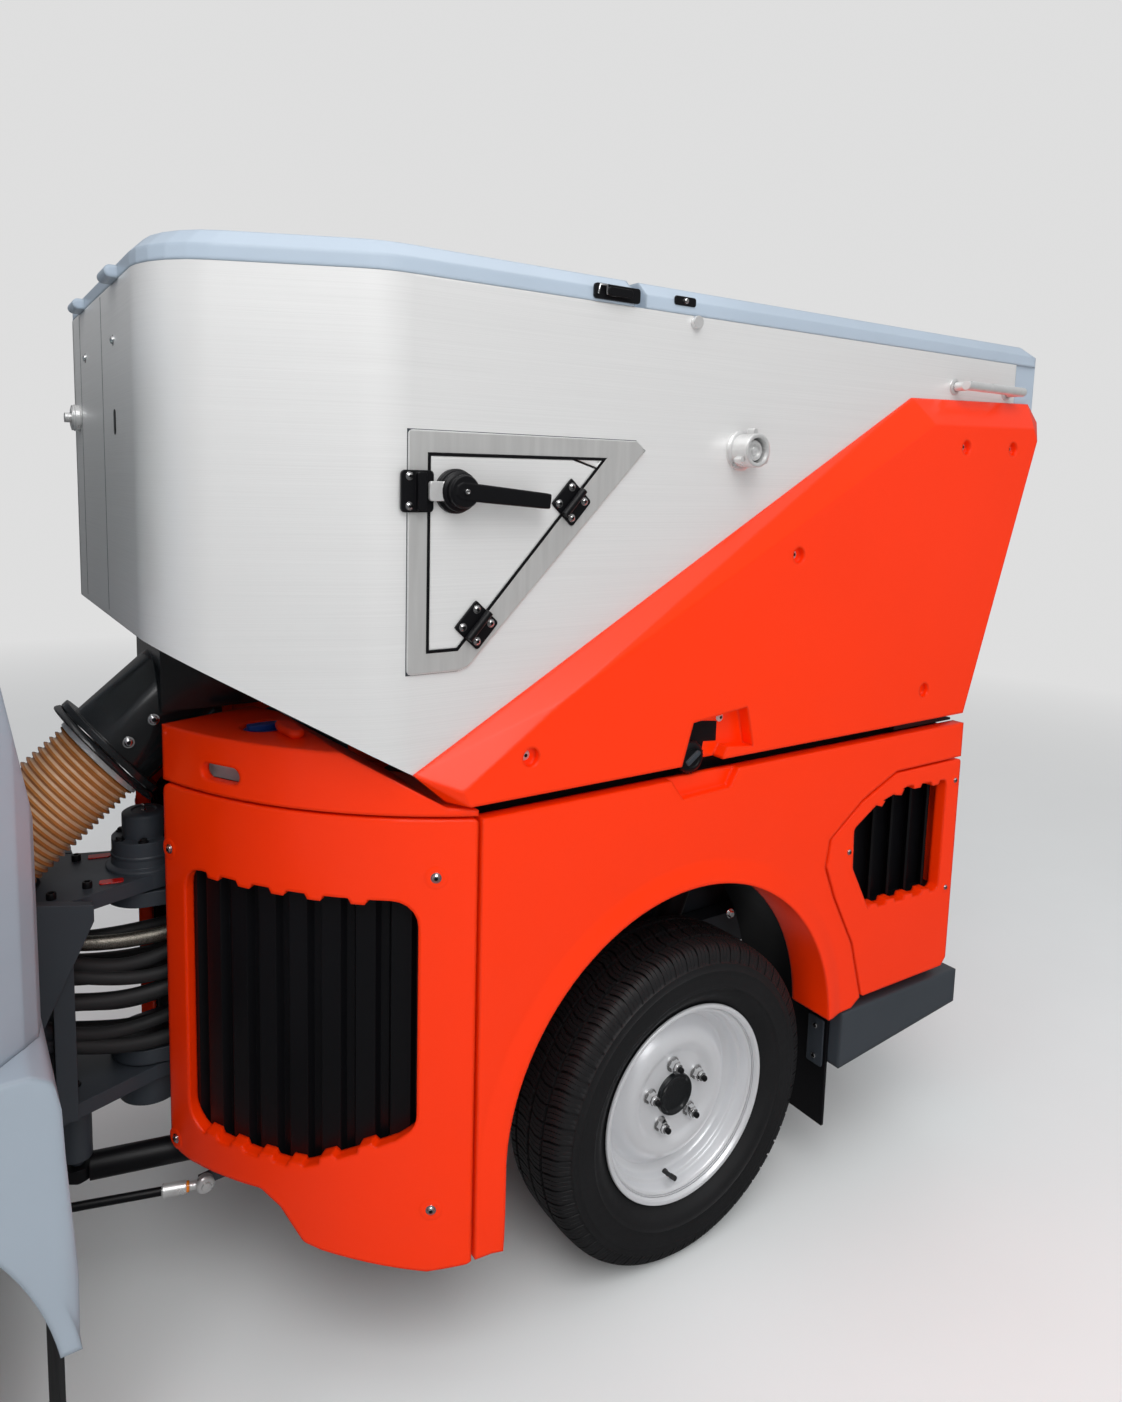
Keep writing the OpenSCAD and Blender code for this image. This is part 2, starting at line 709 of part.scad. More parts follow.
// Hydraulic hoses across the pivot, each a shallow arc
line_r = 13;
line_extra_a = 4;
line_table = [ // y, z, sag
  [-70, 640, 60], [-35, 650, 40], [-75, 720, 55], [70, 650, 70], [35, 690, 45], [75, 760, 60], [0, 790, 35]
];
module hydraulic_hoses() {
  half = (cab_wall_x - yoke_front_x) / 2;
  mid = (cab_wall_x + yoke_front_x) / 2;
  color(black) intersection() {
    box([yoke_front_x + joint_gap, -body_w, 0], [cab_wall_x - joint_gap, body_w, body_top_z]);
    union() for (l = line_table) hydraulic_line(l, half, mid);
  }
}
module hydraulic_line(l, half, mid) {
  bend_r = (half * half + l[2] * l[2]) / (2 * l[2]);
  span_a = asin(half / bend_r);
  translate([mid, l[0], l[1] - l[2] + bend_r]) rotate([90, 0, 0]) rotate([0, 0, 270 - span_a - line_extra_a])
    rotate_extrude(angle = 2 * (span_a + line_extra_a), $fn = 360) translate([bend_r, 0]) circle(r = line_r);
}

// Steel hopper: plan outline and side outline crossed, hollow, open on top and at the rear
nose_half = 412;
crease_dx = 712;
crease_x = rear_axle_x + crease_dx;
nose_round = 150;
crease_round = 220;
floor_slope_share = 0.586;
floor_front_x = hopper_front_x - (hopper_front_low_z - hopper_floor_z) / floor_slope_share;
gate_depth = 115;
rear_slope_dx = 185;
hopper_rear_x = rear_end_x + gate_depth;
hopper_rear_low_x = hopper_rear_x + rear_slope_dx;
rear_bend_dz = 113;
rear_bend_z = hopper_top_z - rear_bend_dz;
hopper_h = hopper_top_z - hopper_floor_z;
beam_dx = 200;
beam_x = rear_axle_x + beam_dx;
beam_w = 50;
beam_h = 40;

hopper_plan_pts = [
  [hopper_rear_x - over, -hopper_half], [crease_x, -hopper_half], [hopper_front_x, -nose_half],
  [hopper_front_x, nose_half], [crease_x, hopper_half], [hopper_rear_x - over, hopper_half]
];
hopper_plan_rounds = [0, crease_round, nose_round, nose_round, crease_round, 0];
hopper_side_pts = [
  [hopper_front_x, hopper_front_low_z], [hopper_front_x, hopper_top_z], [hopper_rear_x, hopper_top_z],
  [hopper_rear_x, rear_bend_z], [hopper_rear_low_x, hopper_floor_z], [floor_front_x, hopper_floor_z]
];
module hopper_solid(d) {
  intersection() {
    linear_extrude(2 * hopper_top_z) polygon(rounded(inset(hopper_plan_pts, d), hopper_plan_rounds));
    along_y(2 * body_w) polygon(inset(hopper_side_pts, d));
  }
}
module hopper_rear_cut() {
  reach = 3 * hopper_wall;
  along_y(hopper_w - 2 * hopper_wall) polygon([
    [hopper_rear_x - over, hopper_top_z + over], [hopper_rear_x + reach, hopper_top_z + over],
    [hopper_rear_x + reach, rear_bend_z], [hopper_rear_low_x + reach, hopper_floor_z + hopper_wall],
    [hopper_rear_low_x - over, hopper_floor_z + hopper_wall], [hopper_rear_x - over, rear_bend_z]
  ]);
}
module hopper_shell() {
  color(steel) difference() {
    union() {
      difference() {
        hopper_solid(0);
        hopper_solid(hopper_wall);
        translate([0, 0, hopper_top_z - 2 * hopper_wall]) linear_extrude(2 * hopper_wall + over)
          polygon(rounded(inset(hopper_plan_pts, hopper_wall), hopper_plan_rounds));
        hopper_rear_cut();
      }
      box([beam_x - beam_w / 2, -hopper_half + over, hopper_top_z - beam_h],
          [beam_x + beam_w / 2, hopper_half - over, hopper_top_z]);
      both_sides() tip_lug();
      both_sides() tip_ear();
      hatch_frame();
      both_sides() gate_knuckle();
    }
    rod_between(hose_top - 2 * inlet_len * hose_dir, hose_top, inlet_r - inlet_wall);
    from_y(hopper_half - hopper_wall - over, hopper_wall + hatch_frame_t + 2 * over) polygon(hatch_pts);
    both_sides() round_y(tip_hinge_x, tip_hinge_z, tip_pin_r + run_gap, 0, hopper_half);
  }
}
module tip_lug() {
  y0 = tip_post_in + tip_post_t + joint_gap;
  round_y(tip_hinge_x, tip_hinge_z, tip_lug_r, y0, tip_lug_t);
  box([tip_hinge_x - tip_lug_r, y0, tip_hinge_z],
      [tip_hinge_x + tip_lug_r, y0 + tip_lug_t, hopper_floor_z + hopper_wall / 2]);
}
tip_ear_t = 10;
tip_ear_half = 60;
module tip_ear() {
  for (s = [-1, 1]) {
    y = tip_y + s * (tip_barrel_r + tip_ear_t);
    box([tip_eye[0] - tip_ear_half, y - tip_ear_t / 2, tip_eye[1] - tip_barrel_r],
        [tip_eye[0] + tip_ear_half, y + tip_ear_t / 2, hopper_floor_z + hopper_wall / 2]);
  }
}

// Side hatch: a four-sided door with its hinges on the sloping edge
hatch_dx = 184;
hatch_box_x = rear_axle_x + hatch_dx;
hatch_low_share = 0.2462;
hatch_h_share = 0.4701;
hatch_box_z = hopper_floor_z + hatch_low_share * hopper_h;
hatch_box_l = 491;
hatch_box_h = hatch_h_share * hopper_h;
hatch_frame_t = 4;
hatch_gap = 3;
hatch_corner_l = 64;
hatch_corner_h = 20;
hatch_t = 10;
hatch_round = 8;
hatch_frame_shares = [[1, 0], [1, 1], [0.045, 1], [0, 0.958], [0.766, 0.012], [0.805, 0]];
hatch_shares = [[0.925, 0.092], [0.925, 0.905], [0.198, 0.91], [0.81, 0.092]];
function on_hatch(shares) = in_box([hatch_box_x, hatch_box_z], [hatch_box_l, hatch_box_h], shares);
hatch_pts = on_hatch(hatch_shares);
hatch_axis = unit(hatch_pts[3] - hatch_pts[2]);
hatch_y = hopper_half + hatch_frame_t;
hinge_r = 7;
hinge_len = 60;
hinge_shares = [0.24, 0.88];
leaf_t = 4;
leaf_w = 30;
hinge_y = hatch_y + leaf_t + hinge_r;

module hatch_frame() {
  from_y(hopper_half - hopper_wall / 2, hopper_wall / 2 + hatch_frame_t)
    polygon(rounded(on_hatch(hatch_frame_shares), hatch_round));
}
module hatch_door() {
  // the acute corner is cut back so that the opening door clears its frame
  p = inset(hatch_pts, hatch_gap);
  color(steel) from_y(hatch_y - hatch_t, hatch_t) polygon([
    p[0], p[1], p[2] + hatch_corner_l * unit(p[1] - p[2]), p[2] + hatch_corner_h * unit(p[3] - p[2]), p[3]
  ]);
}

function hinge_at(s) = hatch_pts[2] + s * (hatch_pts[3] - hatch_pts[2]);
latch_shares = [0.829, 0.756];
latch_pt = on_hatch([latch_shares])[0];
latch_r = 26;
latch_h = 26;
lever_l = 165;
lever_w = 24;
lever_t = 14;
lever_a = -5;
module hinge_leaf(s) {
  p = hinge_at(s);
  translate([p[0], 0, p[1]]) rotate([0, -atan2(hatch_axis[1], hatch_axis[0]), 0])
    translate([-hinge_len / 2, hatch_y, 0]) cube([hinge_len, leaf_t, leaf_w]);
}
module hatch_hardware() {
  color(black) {
    for (s = hinge_shares) {
      hinge_leaf(s);
      p = hinge_at(s);
      a = p - hatch_axis * hinge_len / 2;
      b = p + hatch_axis * hinge_len / 2;
      rod_between([a[0], hinge_y, a[1]], [b[0], hinge_y, b[1]], hinge_r);
    }
    round_y(latch_pt[0], latch_pt[1], latch_r, hatch_y, latch_h);
    translate([latch_pt[0], hatch_y + latch_h - over, latch_pt[1]]) rotate([0, lever_a, 0])
      translate([-lever_l, 0, -lever_w / 2]) cube([lever_l, lever_t, lever_w]);
  }
}

// Tailgate hinge knuckles on the hopper's cross beam
gate_axis_dz = 22;
gate_axis_z = hopper_top_z + gate_axis_dz;
knuckle_r = 12;
knuckle_y = 380;
knuckle_w = 60;
module gate_knuckle() {
  round_y(beam_x, gate_axis_z, knuckle_r, knuckle_y, knuckle_w);
  box([beam_x - knuckle_r, knuckle_y, hopper_top_z - over],
      [beam_x + knuckle_r, knuckle_y + knuckle_w, gate_axis_z]);
}

// Lid over the hopper's front half and tailgate over its rear half and rear opening
lid_band = 24;
lid_bevel = 26;
lid_gap = 0.5;
lid_split = 8;
lid_edge = 1;
gate_round = 40;
lid_low_z = hopper_top_z + lid_gap;
module lid_block(x0, x1) {
  intersection() {
    hull() {
      translate([0, 0, lid_low_z]) linear_extrude(lid_band) polygon(rounded(lid_plan(0), lid_rounds));
      translate([0, 0, lid_low_z + lid_h - lid_edge]) linear_extrude(lid_edge)
        polygon(rounded(lid_plan(lid_bevel), lid_rounds));
    }
    box([x0, -body_w, 0], [x1, body_w, 2 * hopper_top_z]);
  }
}
function lid_plan(d) = inset([
  [rear_end_x, -hopper_half], [crease_x, -hopper_half], [hopper_front_x, -nose_half],
  [hopper_front_x, nose_half], [crease_x, hopper_half], [rear_end_x, hopper_half]
], d);
lid_rounds = [gate_round, crease_round, nose_round, nose_round, crease_round, gate_round];

lid_pin_r = 10;
lid_pin_clear = 2;
lid_pin_x = hopper_front_x + lid_pin_r + lid_pin_clear;
lid_pin_z = lid_low_z + lid_pin_r;
lid_pin_y = 150;
lid_pin_w = 70;
module front_lid() {
  color(light_grey) {
    lid_block(beam_x + knuckle_r + lid_split, hopper_front_x + over);
    both_sides() {
      round_y(lid_pin_x, lid_pin_z, lid_pin_r, lid_pin_y, lid_pin_w);
      box([hopper_front_x - lid_band, lid_pin_y, lid_low_z],
          [lid_pin_x, lid_pin_y + lid_pin_w, lid_pin_z + lid_pin_r]);
    }
  }
}
gate_side_gap = 6;
gate_t = 30;
gate_low_dz = 14;
gate_low_share = gate_low_dz / (rear_bend_z - hopper_floor_z);
gate_low_x = hopper_rear_low_x - gate_low_share * rear_slope_dx;
function gate_line(out) = [
  [hopper_rear_x - out, rear_bend_z + over], [hopper_rear_x - out, rear_bend_z],
  [gate_low_x - out, hopper_floor_z + gate_low_dz]
];
module tailgate() {
  color(light_grey) difference() {
    union() {
      lid_block(rear_end_x, beam_x - lid_split);
      intersection() {
        box([rear_end_x, -hopper_half + gate_side_gap, rear_bend_z],
            [hopper_rear_x - 2 * joint_gap, hopper_half - gate_side_gap, lid_low_z + lid_band]);
        linear_extrude(2 * hopper_top_z) polygon(rounded(lid_plan(0), lid_rounds));
      }
      along_y(hopper_w - 2 * hopper_wall - 2 * gate_side_gap) polygon(concat(gate_line(2 * joint_gap),
        [for (i = [2 : -1 : 0]) gate_line(2 * joint_gap + gate_t)[i]]));
    }
    both_sides() {
      round_y(beam_x, gate_axis_z, knuckle_r + joint_gap, knuckle_y - joint_gap, knuckle_w + 2 * joint_gap);
      box([beam_x - knuckle_r - joint_gap, knuckle_y - joint_gap, hopper_top_z],
          [beam_x, knuckle_y + knuckle_w + joint_gap, gate_axis_z]);
    }
  }
}

// Orange covers on the hopper's sides, bevelled along the diagonal and the top
cover_drop = 18;
cover_h_share = 0.9097;
cover_low_z = hopper_floor_z - cover_drop;
cover_h = cover_h_share * hopper_h;
cover_dx = 662;
cover_front_x = rear_axle_x + cover_dx;
cover_edge = 4;
notch_depth = 30;
cover_slab = 2;
cover_len = cover_front_x - rear_end_x - joint_gap;
cover_base_shares = [[1, 0.072], [0.9657, 0], [0.17, 0], [0.004, 0.943], [0.0315, 1], [0.297, 0.981]];
cover_face_shares = [
  [0.952, 0], [0.171, 0], [0.0426, 0.876], [0.0526, 0.915], [0.279, 0.902], [0.8456, 0.214], [0.96, 0.036]
];
cover_notch_shares = [
  [0.695, -0.05], [0.674, 0.11], [0.592, 0.13], [0.58, 0.02], [0.62, 0.03], [0.64, -0.05]
];
recess_table = [ // share of length, share of height
  [0.2092, 0.841], [0.1007, 0.845], [0.5207, 0.527], [0.2634, 0.097], [0.8854, 0.09]
];
recess_r = 17;
recess_depth = 14;
function on_cover(shares) = in_box([rear_end_x, cover_low_z], [cover_len, cover_h], shares);
module hopper_covers() {
  color(orange) both_sides() difference() {
    hull() {
      from_y(hopper_half, cover_edge) polygon(on_cover(cover_base_shares));
      from_y(hopper_half + cover_t - cover_slab, cover_slab) polygon(on_cover(cover_face_shares));
    }
    for (s = recess_table) {
      p = on_cover([s])[0];
      round_y(p[0], p[1], recess_r, hopper_half + cover_t - recess_depth, recess_depth + over);
    }
    from_y(hopper_half + cover_t - notch_depth, notch_depth + over) polygon(on_cover(cover_notch_shares));
  }
}

// Couplings, grab handles and bolts on the hopper
coupling_r = 33;
coupling_h = 46;
coupling_bore_r = 25;
coupling_bore_l = 36;
coupling_dx = 67;
coupling_dz = 250;
coupling_pt = [rear_axle_x - coupling_dx, hopper_top_z - coupling_dz];
bolt_dx = 69;
bolt_dz = 12;
bolt_pt = [rear_axle_x + bolt_dx, hopper_top_z - bolt_dz];
bolt_r = 12;
bolt_h = 10;
handle_r = 11;
handle_dx = [258, 40];
handle_dz = 73;
handle_x = [for (d = handle_dx) hopper_rear_x + d];
handle_z = hopper_top_z - handle_dz;
handle_out = 38;
nozzle_y = -260;
nozzle_dz = 208;
nozzle_pt = [nozzle_y, hopper_top_z - nozzle_dz];
nozzle_r = 26;
nozzle_h = 16;
nozzle_tip_r = 10;
nozzle_tip_h = 14;
module hopper_fittings() {
  color(silver) {
    both_sides() {
      difference() {
        round_y(coupling_pt[0], coupling_pt[1], coupling_r, hopper_half, coupling_h);
        round_y(coupling_pt[0], coupling_pt[1], coupling_bore_r,
                hopper_half + coupling_h - coupling_bore_l, coupling_h);
      }
      round_y(bolt_pt[0], bolt_pt[1], bolt_r, hopper_half, bolt_h);
      for (x = handle_x) round_y(x, handle_z, handle_r, hopper_half, handle_out);
      rod_between([handle_x[0] + handle_r, hopper_half + handle_out, handle_z],
                  [handle_x[1] - handle_r, hopper_half + handle_out, handle_z], handle_r);
    }
    translate([hopper_front_x, nozzle_pt[0], nozzle_pt[1]]) rotate([0, 90, 0]) {
      cylinder(h = nozzle_h, r = nozzle_r);
      cylinder(h = nozzle_h + nozzle_tip_h, r = nozzle_tip_r);
    }
  }
}

// Tipping cylinders: barrels stand on the frame, rods reach the hopper's ears
tip_dir = unit([tip_eye[0] - tip_foot[0], 0, tip_eye[1] - tip_foot[1]]);
tip_len = norm(tip_eye - tip_foot);
tip_rod_top = 22;
module tip_barrels() {
  a = [tip_foot[0], tip_y, tip_foot[1]];
  color(black) both_sides() {
    difference() {
      rod_between(a, a + tip_barrel_share * tip_len * tip_dir, tip_barrel_r);
      rod_between(a + tip_barrel_r * tip_dir, a + tip_len * tip_dir, tip_rod_r + run_gap);
    }
    box([tip_foot[0] - tip_barrel_r, tip_y - tip_barrel_r / 2, rail_top_z],
        [tip_foot[0] + tip_barrel_r, tip_y + tip_barrel_r / 2, tip_foot[1] + over]);
  }
}
module tip_rods() {
  a = [tip_foot[0], tip_y, tip_foot[1]];
  color(silver) both_sides() {
    rod_between(a + (tip_barrel_r + joint_gap) * tip_dir, a + tip_len * tip_dir, tip_rod_r);
    round_y(tip_eye[0], tip_eye[1], tip_rod_top, tip_y - tip_barrel_r / 2, tip_barrel_r);
  }
}

// Steering cylinder
steer_dir = unit([steer_rear[0] - steer_front[0], steer_rear[1] - steer_front[1], 0]);
steer_len = norm(steer_rear - steer_front);
module steer_barrel() {
  a = [steer_front[0], steer_front[1], steer_z];
  color(black) difference() {
    union() {
      rod_between(a + steer_neck_share * steer_eye_r * steer_dir,
                  a + steer_barrel_share * steer_len * steer_dir, steer_barrel_r);
      translate([a[0], a[1], steer_z - steer_eye_t / 2]) cylinder(h = steer_eye_t, r = steer_eye_r);
    }
    translate([a[0], a[1], 0]) cylinder(h = 2 * steer_z, r = steer_pin_r + run_gap);
    rod_between(a + 2 * steer_eye_r * steer_dir, a + steer_len * steer_dir, steer_rod_r + run_gap);
  }
}
module steer_rod() {
  a = [steer_front[0], steer_front[1], steer_z];
  b = [steer_rear[0], steer_rear[1], steer_z - steer_eye_t / 2];
  color(silver) {
    rod_between(a + steer_rod_in_share * steer_len * steer_dir, a + steer_len * steer_dir, steer_rod_r);
    translate(b) cylinder(h = steer_eye_t, r = steer_eye_r);
  }
}

// Wheels, drawn with the outer side towards +Z
bead_share = 0.93;
tyre_in_r = bead_share * rim_r + joint_gap;
groove_w = 9;
groove_d = 8;
groove_shares = [-0.22, 0, 0.22];
tyre_half_shares = [ // share of the half width, share of the section height
  [0.70, 0], [0.735, 0.1], [0.97, 0.36], [1, 0.5], [0.96, 0.68], [0.84, 0.9], [0.72, 0.965], [0.4, 0.995],
  [0, 1]
];
module tyre_profile() {
  h = tyre_r - tyre_in_r;
  upper = [for (s = tyre_half_shares) [tyre_in_r + s[1] * h, s[0] * tyre_w / 2]];
  lower = [for (i = [len(upper) - 2 : -1 : 0]) [upper[i][0], -upper[i][1]]];
  difference() {
    polygon(concat(upper, lower));
    for (g = groove_shares)
      translate([tyre_r - groove_d, g * tyre_w - groove_w / 2]) square([2 * groove_d, groove_w]);
  }
}
module wheel_place(x, side) {
  translate([x, side * wheel_y, tyre_r]) rotate([side > 0 ? -90 : 90, 0, 0]) children();
}
module tyre(x, side) {
  color(black) wheel_place(x, side) rotate_extrude($fn = 120) tyre_profile();
}

rim_t = 7;
disc_z = 38;
hub_r = 46;
hub_in = -62;
hub_drum_r = 75;
nut_r = 13;
nut_h = 26;
hub_cap_h = 10;
rim_shares = [ // share of the flange radius, share of the half width: barrel from outer to inner flange
  [1, 1], [1, 0.93], [0.93, 0.88], [0.92, 0.55], [0.8, 0.35], [0.8, -0.1], [0.92, -0.4], [0.93, -0.88],
  [1, -0.93], [1, -1], [0.955, -1], [0.885, -0.88], [0.875, -0.45], [0.76, -0.12], [0.76, 0.37],
  [0.875, 0.58], [0.885, 0.88], [0.955, 1]
];
disc_shares = [ // share of the flange radius, offset from the disc plane as a share of the half width
  [0.2, 0], [0.45, 0], [0.52, 0.12], [0.62, 0.14], [0.72, 0], [0.77, -0.2],
  [0.77, -0.29], [0.69, -0.1], [0.61, 0.05], [0.53, 0.03], [0.46, -0.09], [0.2, -0.09]
];
module rim(x, side) {
  color(silver) wheel_place(x, side) {
    difference() {
      union() {
        rotate_extrude($fn = 96) polygon([for (s = rim_shares) [s[0] * rim_r, s[1] * rim_w / 2]]);
        rotate_extrude($fn = 96) polygon([for (s = disc_shares) [s[0] * rim_r, disc_z + s[1] * rim_w / 2]]);
        translate([0, 0, hub_in]) cylinder(h = disc_z - hub_in, r = hub_drum_r);
        cylinder(h = disc_z + hub_cap_h, r = hub_r);
        for (i = [0 : stud_count - 1]) rotate([0, 0, 360 / stud_count * i])
          translate([stud_circle / 2, 0, disc_z - rim_t]) cylinder(h = nut_h + rim_t, r = nut_r, $fn = 6);
      }
      translate([0, 0, hub_in - over])
        cylinder(h = spindle_half - wheel_y - hub_in + over + joint_gap, r = spindle_r + run_gap);
    }
  }
}

// Front frame: two arms on the pivot, a wall, rails and brackets for the sweeping gear
cab_wall_x = 230;
frame_wall_t = 30;
frame_wall_half = 190;
frame_wall_dz = 20;
frame_wall_top_z = upper_arm_z + lug_t + frame_wall_dz;
front_rail_in = 160;
front_rail_out = 210;
front_rail_end_x = 1345;
cab_mount_x = [740, 1150];
arm_half = 150;
gusset_l = 112;
gusset_end = 44;
gusset_h = 146;
post_out = 77;
post_l = 36;
post_w = 24;
brush_pivot = [1290, 230];
bracket_t = 20;
pivot_boss_r = 40;
brush_arm_z = 385;
brush_arm_t = 50;
brush_pin_r = 20;

module arm_outline() {
  circle(r = lug_r);
  polygon([[0, -lug_r], [cab_wall_x + over, -arm_half], [cab_wall_x + over, arm_half], [0, lug_r]]);
}
module front_frame() {
  color(dark_grey) difference() {
    union() {
      for (z = [lower_arm_z, upper_arm_z]) translate([0, 0, z]) linear_extrude(lug_t) arm_outline();
      translate([0, 0, upper_arm_z]) cylinder(h = lug_t + cap_h, r = cap_r);
      translate([0, 0, upper_arm_z + lug_t + cap_h - over]) cylinder(h = cap_top_h + over, r = cap_top_r);
      translate([0, 0, lower_arm_z - cap_h]) cylinder(h = cap_h + over, r = cap_r);
      box([cab_wall_x, -frame_wall_half, lower_arm_z],
          [cab_wall_x + frame_wall_t, frame_wall_half, frame_wall_top_z]);
      both_sides() {
        box([cab_wall_x, front_rail_in, lower_arm_z - lug_t],
            [front_rail_end_x, front_rail_out, lower_arm_z + lug_t]);
        // gusset from the wall down to the lower arm
        from_y(arm_half - bracket_t, bracket_t) polygon([
          [cab_wall_x + over, frame_wall_top_z], [cab_wall_x - gusset_l, upper_arm_z + lug_t - over],
          [cab_wall_x - gusset_l, upper_arm_z - over], [cab_wall_x - gusset_end, upper_arm_z - gusset_h],
          [cab_wall_x + over, lower_arm_z + 2 * lug_r]
        ]);
        // post between the two arms
        box([cab_wall_x - post_out, arm_half - bracket_t - post_w, lower_arm_z + over],
            [cab_wall_x - post_out + post_l, arm_half - bracket_t + over, upper_arm_z + over]);
        for (x = cab_mount_x)
          box([x, front_rail_in, lower_arm_z], [x + cross_w, front_rail_out, cab_low_z - run_gap]);
        // brush bracket with its pin
        box([brush_pivot[0] - pivot_boss_r, front_rail_in, lower_arm_z - bracket_t],
            [brush_pivot[0], brush_pivot[1] + pivot_boss_r, lower_arm_z]);
        translate([brush_pivot[0], brush_pivot[1], 0]) {
          translate([0, 0, lower_arm_z - bracket_t]) cylinder(h = bracket_t, r = pivot_boss_r);
          translate([0, 0, brush_arm_z - over]) cylinder(h = lower_arm_z - brush_arm_z, r = brush_pin_r);
        }
      }
      box([front_rail_end_x - cross_w, -front_rail_out, lower_arm_z - lug_t],
          [front_rail_end_x, front_rail_out, lower_arm_z + lug_t]);
      // boss and pin of the steering cylinder, under the lower arm
      translate([steer_front[0], steer_front[1], steer_z - steer_eye_t])
        cylinder(h = lower_arm_z - steer_z + steer_eye_t, r = steer_pin_r);
      translate([steer_front[0], steer_front[1], steer_z + steer_barrel_r + clevis_gap])
        cylinder(h = lower_arm_z - steer_z - steer_barrel_r - clevis_gap + over, r = steer_eye_r);
    }
    translate([0, 0, upper_arm_z - over]) cylinder(h = over + lug_t + cap_h + run_gap, r = pin_r + run_gap);
    translate([0, 0, lower_arm_z - run_gap]) cylinder(h = lug_t + over, r = pin_r + run_gap);
    suction_duct_space();
  }
}
module suction_duct_space() {
  rod_between(hose_low - inlet_len * hose_dir, duct_pts[1], duct_space_r);
  rod_between(duct_pts[1], duct_pts[2], duct_space_r);
  translate(duct_pts[1]) sphere(r = duct_space_r + duct_bulge);
}
module front_axle() axle(front_axle_x, front_rail_in, front_rail_out, lower_arm_z - lug_t, front_drive_r);

// Cab: three outlines crossed, with a wall thickness
cab_side_shares = [[0, 0], [1, 0], [1, 0.27], [0.82, 1], [0.12, 1], [0, 0.4]];
cab_nose_share = 0.1;
cab_nose_half_share = 0.7;
cab_plan_round = 150;
cab_front_lean = 70;
cab_waist_z = 1100;
cab_round = 70;
cab_rounds = [0, 0, cab_round, cab_round, cab_round, cab_round];
cab_h = cab_top_z - cab_low_z;
cab_side_pts = in_box([cab_rear_x, cab_low_z], [cab_len, cab_h], cab_side_shares);
cab_plan_pts = [
  [cab_rear_x, -cab_half], [cab_front_x - cab_nose_share * cab_len, -cab_half],
  [cab_front_x, -cab_half * cab_nose_half_share], [cab_front_x, cab_half * cab_nose_half_share],
  [cab_front_x - cab_nose_share * cab_len, cab_half], [cab_rear_x, cab_half]
];
cab_front_pts = [
  [-cab_half, cab_low_z], [cab_half, cab_low_z], [cab_half, cab_waist_z],
  [cab_half - cab_front_lean, cab_top_z], [-cab_half + cab_front_lean, cab_top_z], [-cab_half, cab_waist_z]
];
module cab_solid(d) {
  intersection() {
    along_y(2 * body_w) polygon(rounded(inset(cab_side_pts, d), cab_rounds));
    linear_extrude(2 * cab_top_z) polygon(rounded(inset(cab_plan_pts, d), cab_plan_round));
    along_x(0, 2 * cab_front_x) polygon(rounded(inset(cab_front_pts, d), cab_rounds));
  }
}
module cab_wall() {
  difference() {
    cab_solid(0);
    cab_solid(cab_wall_t);
  }
}

// Openings of the cab, as shares of its length and height
door_rear_share = 0.16;
door_shares = [
  [door_rear_share, 0.91], [door_rear_share, 0.17], [0.68, 0.17], [0.74, 0.07], [0.9, 0.07], [0.9, 0.27],
  [0.765, 0.91]
];
door_window_shares = [[0.21, 0.87], [0.21, 0.37], [0.845, 0.37], [0.735, 0.87]];
screen_low_share = 0.3;
screen_top_share = 0.9;
rear_window_share = 0.6;
roof_share = 0.945;
mask_share = 0.91;
screen_side = 75;
mask_drop = 20;
screen_low_z = cab_low_z + screen_low_share * cab_h;
screen_top_z = cab_low_z + screen_top_share * cab_h;
screen_half = cab_half - screen_side;
rear_window_low_z = cab_low_z + rear_window_share * cab_h;
rear_window_half = 380;
roof_z = cab_low_z + roof_share * cab_h;
mask_x = cab_rear_x + mask_share * cab_len;
mask_top_z = screen_low_z - mask_drop;
door_gap = 6;
function on_cab(shares) = in_box([cab_rear_x, cab_low_z], [cab_len, cab_h], shares);
hose_gate_half = 215;
hose_gate_top_z = 1125;
shelf_dx = 265;
seat_base_dx = 540;
shelf_x = cab_rear_x + shelf_dx;
seat_base_z = 900;
seat_base_x = cab_rear_x + seat_base_dx;
plinth_t = 20;

door_cut_in = cab_half - 2 * cab_front_lean - cab_wall_t;
module door_space(gap) {
  from_y(door_cut_in, body_w) polygon(inset(on_cab(door_shares), gap));
}
module screen_space() {
  along_x(cab_rear_x + cab_len / 2, cab_len) polygon(rounded([
    [-screen_half, screen_low_z], [screen_half, screen_low_z], [screen_half - cab_front_lean, screen_top_z],
    [-screen_half + cab_front_lean, screen_top_z]
  ], cab_round));
}
module rear_window_space() {
  along_x(0, cab_rear_x + cab_len / 2) polygon(rounded([
    [-rear_window_half, rear_window_low_z], [rear_window_half, rear_window_low_z],
    [rear_window_half, screen_top_z], [-rear_window_half, screen_top_z]
  ], cab_round));
}
module mask_space() {
  box([mask_x, -body_w, 0], [2 * cab_front_x, body_w, mask_top_z]);
}
module wheel_well(r) {
  both_sides() round_y(front_axle_x, tyre_r, r, fender_out - liner_w, body_w);
}
